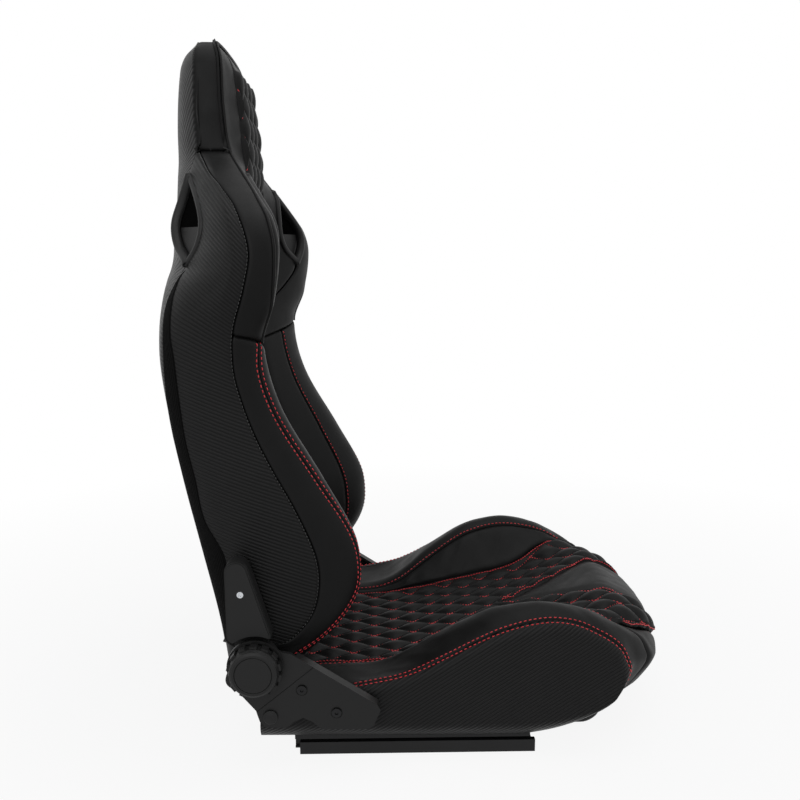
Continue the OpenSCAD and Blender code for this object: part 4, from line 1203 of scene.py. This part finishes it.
def nose_point(x, r):
    """Points of the softened cushion surface, read from a fine grid."""
    i = np.interp(r, SKIN_ROWS[:, 0], np.arange(len(SKIN_ROWS)))
    j = np.interp(x, NOSE_X, np.arange(len(NOSE_X)))
    i0 = np.minimum(i.astype(int), len(SKIN_ROWS) - 2)
    j0 = np.minimum(j.astype(int), len(NOSE_X) - 2)
    a, b = (i - i0)[..., None], (j - j0)[..., None]
    near = NOSE_SKIN[i0, j0] * (1 - b) + NOSE_SKIN[i0, j0 + 1] * b
    far = NOSE_SKIN[i0 + 1, j0] * (1 - b) + NOSE_SKIN[i0 + 1, j0 + 1] * b
    return near * (1 - a) + far * a


def cushion_nose():
    share = np.linspace(-1, 1, 91)[None, :]
    drop = np.linspace(0, 1, 34)[:, None]
    x = FIRST_GUESS_X * share + 0 * drop
    for _ in range(4):
        row = fold_row(x) * drop
        x = smooth(NOSE_EDGE, row) * share
    skin = nose_point(x, row)
    folds = leather_folds(skin, 1.3, 10.0) * ease((1 - drop) * 4) * ease(drop * 4)
    cover = seamed(seamed(skin, 5, 10, "n"), *WING_TUCK, "we") + outward(skin) * folds[..., None]
    under = cover.copy()
    under[..., 1] = -(nose_reach(cover[..., 0]) - FOAM_SET_BACK)
    under[..., 2] = np.maximum(cover[..., 2], FOAM_BASE)
    piece = pad("cushion_nose", cover, under)
    upholster(piece, 0.9, leather, "smooth_leather", "carriage", "cushion_pad")


cushion_nose()
for side, suffix in SIDES:
    thigh_covers(side, suffix)

# ---- Cushion side panels -------------------------------------------------
# The same embossed vinyl, leaf-shaped, from the double-stitched side seam
# down to the hem that is clipped under the frame.
HEM_Z = [[-220, 37], [130, 34], [172, 38], [215, 49], [250, 66], [272, 84]]
PANEL_REAR, PANEL_FRONT_Z = -220.0, 84.0
PANEL_COLUMNS = 150
PANEL_SWELL, PANEL_HEM_IN = 10.0, 16.0
PANEL_INSIDE = 231.0
CUSHION_RIB_LEAN = math.radians(33)


def panel_edges():
    """The side panel's hem and upper edge, from the front corner to the rear, evenly spaced."""
    seam = cushion_skin(SIDE_SEAM_X + 0 * SKIN_ROWS, SKIN_ROWS)[:, 0]
    seam = seam[seam[:, 2] > PANEL_FRONT_Z][:, 1:] * [-1, 1]
    s = np.arange(SEAT_REAR - 4, PANEL_REAR - 2, -4.0)
    top = np.concatenate([seam, np.stack([s, smooth(SIDE_Z, s)], 1)])
    s = np.linspace(top[0, 0], PANEL_REAR, 200)
    hem = np.stack([s, smooth(HEM_Z, s)], 1)
    hem[0] = top[0]
    for line in (hem, top):
        gone = distance_along(line)
        marks = np.linspace(0, gone[-1], PANEL_COLUMNS)
        yield np.stack([np.interp(marks, gone, line[:, k]) for k in range(2)], 1)


def cushion_side_panel(side, suffix):
    hem, top = panel_edges()
    share = np.linspace(0, 1, 36)[:, None]
    s, z = np.moveaxis(hem + (top - hem) * share[..., None], 2, 0)
    span = np.linalg.norm(top - hem, axis=1)
    rise = np.clip(1 - span * (1 - share) / 20, 0, 1) ** 2
    fall = np.clip(1 - span * share / 28, 0, 1) ** 2
    x = SIDE_SEAM_X + PANEL_SWELL * (1 - rise) - PANEL_HEM_IN * fall * (1 - rise)
    cover = seamed(grid(x, s, z), 2.0, 6, "n")
    lean, level = np.sin(CUSHION_RIB_LEAN), np.cos(CUSHION_RIB_LEAN)
    weave = np.stack([z * level - s * lean, z * lean + s * level], 2)
    behind = cover.copy()
    behind[..., 0] = np.minimum(cover[..., 0] - 5, PANEL_INSIDE)
    piece = pad("cushion_side_vinyl_" + suffix, cover, behind, side, weave)
    upholster(piece, 0.9, vinyl, "carbon_vinyl", "carriage", "cushion_side_" + suffix)
    row = inset(cover[:, :-18], "n", SIDE_STITCH)
    wear(sew("side_stitches_" + suffix, [row], side), red_thread, "carbon_vinyl", "carriage")


for side, suffix in SIDES:
    cushion_side_panel(side, suffix)

# ---- Rails, frame and small metal parts ----------------------------------
# The CAD solids themselves, finished as the real parts are: e-coated slides,
# powder-coated frame, zinc-plated recliner, oiled springs and black bolts.


def coated_steel(name, dark, light, metallic, roughness, scratch_mm, bump_mm):
    """Steel with a thin finish: faint drawn streaks along the part and a slightly mottled gloss."""
    material, tree, shader = new_material(name)
    place = add(tree, "ShaderNodeTexCoord")
    drawn = add(tree, "ShaderNodeMapping", None, {
        "Vector": place.outputs["Object"], "Scale": (1.0, 0.06, 1.0)})
    streaks = add(tree, "ShaderNodeTexNoise", None, {
        "Vector": drawn.outputs[0], "Scale": 1000 / scratch_mm, "Detail": 4.0, "Roughness": 0.65})
    cloud = add(tree, "ShaderNodeTexNoise", None, {
        "Vector": place.outputs["Object"], "Scale": 18.0, "Detail": 4.0, "Roughness": 0.6})
    blend = add(tree, "ShaderNodeMath", {"operation": "MULTIPLY_ADD"}, {
        0: streaks.outputs["Fac"], 1: 0.5, 2: cloud.outputs["Fac"]})
    tone = add(tree, "ShaderNodeMapRange", None, {
        "Value": blend.outputs[0], "From Min": 0.5, "From Max": 1.0})
    colour = add(tree, "ShaderNodeMix", {"data_type": "RGBA"}, {
        0: tone.outputs[0], 6: linear(dark), 7: linear(light)})
    shine = add(tree, "ShaderNodeMapRange", None, {
        "Value": cloud.outputs["Fac"], "From Min": 0.3, "From Max": 0.7,
        "To Min": roughness - 0.06, "To Max": roughness + 0.08})
    bump = add(tree, "ShaderNodeBump", None, {
        "Strength": 0.3, "Distance": bump_mm / 1000, "Height": streaks.outputs["Fac"]})
    feed(tree, shader, {"Base Color": colour.outputs[2], "Roughness": shine.outputs[0],
                        "Normal": bump.outputs[0], "Metallic": metallic,
                        "Specular IOR Level": 0.5 if metallic else 0.25})
    return material


FINISHES = {
    "rail_steel": coated_steel("black_e_coat", "#0b0b0b", "#181819", 0.0, 0.34, 0.8, 0.15),
    "frame_steel": coated_steel("black_powder_coat", "#0e0e0e", "#171717", 0.0, 0.5, 1.2, 0.3),
    "zinc_steel": coated_steel("zinc_plated_steel", "#7d8083", "#a3a6a8", 1.0, 0.36, 0.6, 0.1),
    "spring_steel": coated_steel("oiled_spring_wire", "#2a2a2c", "#4a4a4d", 1.0, 0.38, 0.5, 0.1),
    "black_bolts": coated_steel("black_oxide_steel", "#101011", "#1f1f21", 0.6, 0.36, 0.5, 0.1),
    "screw_steel": coated_steel("bright_zinc_screw", "#b9bcc0", "#dadcde", 1.0, 0.26, 0.4, 0.05),
    "grip_rubber": moulded_plastic("ribbed_rubber", "#0e0e0e", "#161616", 0.62),
    "moulded_plastic": moulded_plastic("textured_nylon", "#101010", "#171717", 0.44),
}

for part in frame["record"]["subparts"]:
    node = bpy.data.objects[part["node"]]
    for slot in node.material_slots:
        slot.material = FINISHES.get(part["material_slot"], slot.material)

# ---- Side plates and lower covers ----------------------------------------
# Steel plates carry the recliner. The nylon cover screwed over each one has a
# moulded groove below the hand wheel's collar, a round blind plug behind it
# and an arch in its lower edge; the plate stops short of that edge.
# Places and outlines are (forward, up), profiles (radius, x), bands two X planes.
GROOVE_ENDS = np.array([[-138.0, 161.5], [-224.0, 91.5]])
GROOVE_WIDTH, GROOVE_FLOOR, COVER_FACE = 8.0, 278.4, 280.7
PLATE_CUT = [(-300, 30), (-60, 30), (-60, 75), (-128, 75), (-140, 86), (-150, 92), (-157, 93), (-165, 92),
             (-175, 86), (-186, 79), (-206, 80), (-212, 84), (-300, 90)]
PLATE_BAND = (260.0, 280.0)
PLUG_AT = (-200.5, 89.0)
PLUG_PROFILE = [(9.9, 280.0), (9.9, 281.0), (9.5, 281.8), (8.8, 282.2), (7.9, 282.2), (7.5, 281.9),
                (7.1, 282.1), (0.0, 282.4)]
SCREW_AT = np.array([-236.0, 262.0])
CROSS_ARMS = np.array([[2.3, 1.3], [1.3, -2.3]])
CROSS_WIDTH, CROSS_FLOOR = 1.6, 281.1
BEYOND_FACE = 290.0
LUG_CUT = [(-240, 20), (-60, 20), (-60, 72), (-240, 72)]
LUG_BAND = (236.0, 280.0)
SPACER_PROFILE = [(7.5, 222.0), (7.5, 268.6), (0.0, 268.7)]
SPACERS = ((-192, 82), (-100, 88))


def prism(outline, low, high, side):
    """Block between two X planes, its outline listed as (s, z)."""
    verts = [(x, -s, z) for x in (low, high) for s, z in outline]
    block = mesh_piece("tool", verts, tube_faces(2, len(outline)), side)
    sharp_edged(block)
    face_out(block)
    return block


def strip(ends, left, right):
    """Outline of a strip that reaches so far to the left and right of a line."""
    along = unit(ends[1] - ends[0])
    off = np.array([-along[1], along[0]])
    return [ends[0] + off * left, ends[1] + off * left, ends[1] - off * right, ends[0] - off * right]


def groove_tool(side):
    """Wedge whose floor rises from the groove's line to the cover's face, on the hand wheel's side."""
    wedge = prism(strip(GROOVE_ENDS, 0, GROOVE_WIDTH), GROOVE_FLOOR, BEYOND_FACE, side)
    for corner in (2, 3):
        wedge.data.vertices[corner].co.x = side * COVER_FACE / 1000
    return wedge


def cut_copy(node, name, tools):
    """A node's own shape with some blocks cut out of it."""
    piece = put_in_scene(name, bpy.data.objects[node].data.copy())
    for tool in tools:
        bite = piece.modifiers.new("cut", "BOOLEAN")
        bite.operation, bite.solver, bite.object = "DIFFERENCE", "EXACT", tool
    shaped = piece.evaluated_get(bpy.context.evaluated_depsgraph_get())
    mesh = bpy.data.meshes.new_from_object(shaped)
    piece.modifiers.clear()
    mesh.materials.clear()
    mesh.polygons.foreach_set("material_index", [0] * len(mesh.polygons))
    piece.data = mesh
    for tool in tools:
        bpy.data.objects.remove(tool)
    return piece


def turned(name, profile, centre, side):
    """Round part: (radius, x) pairs turned about the X axis through centre, the last one its tip."""
    turn = np.arange(40) * 2 * np.pi / 40
    verts = [(x, -(centre[0] + r * math.cos(a)), centre[1] + r * math.sin(a))
             for r, x in profile[:-1] for a in turn]
    verts.append((profile[-1][1], -centre[0], centre[1]))
    n, last = len(turn), len(verts) - len(turn) - 1
    faces = tube_faces(len(profile) - 1, n)[:-1]
    faces += [[len(verts) - 1, last + (i + 1) % n, last + i] for i in range(n)]
    return mesh_piece(name, verts, faces, side)


lug_tools = [prism(LUG_CUT, *LUG_BAND, side) for side, _ in SIDES]
trimmed = cut_copy("cushion_frame", "seat_frame", lug_tools)
wear(trimmed, FINISHES["frame_steel"], "frame_steel", "carriage", "cushion_frame")

for side, suffix in SIDES:
    for number, at in enumerate(SPACERS):
        spacer = turned("plate_spacer_%d_%s" % (number + 1, suffix), SPACER_PROFILE, at, side)
        wear(spacer, FINISHES["frame_steel"], "frame_steel", "carriage")
    cover = cut_copy("bracket_cover_" + suffix, "lower_cover_" + suffix, [groove_tool(side)])
    wear(cover, FINISHES["moulded_plastic"], "moulded_plastic", "carriage", "bracket_cover_" + suffix)
    arch = prism(PLATE_CUT, *PLATE_BAND, side)
    plate = cut_copy("side_plate_" + suffix, "bracket_plate_" + suffix, [arch])
    wear(plate, FINISHES["frame_steel"], "frame_steel", "carriage", "side_plate_" + suffix)
    plug = turned("cover_plug_" + suffix, PLUG_PROFILE, PLUG_AT, side)
    wear(plug, FINISHES["moulded_plastic"], "moulded_plastic", "carriage")
    cross = [prism(strip(SCREW_AT + np.outer((-1, 1), arm), CROSS_WIDTH / 2, CROSS_WIDTH / 2),
                   CROSS_FLOOR, BEYOND_FACE, side) for arm in CROSS_ARMS]
    screw = cut_copy("cover_screw_" + suffix, "pan_screw_" + suffix, cross)
    wear(screw, FINISHES["screw_steel"], "screw_steel", "backrest", "cover_screw_" + suffix)
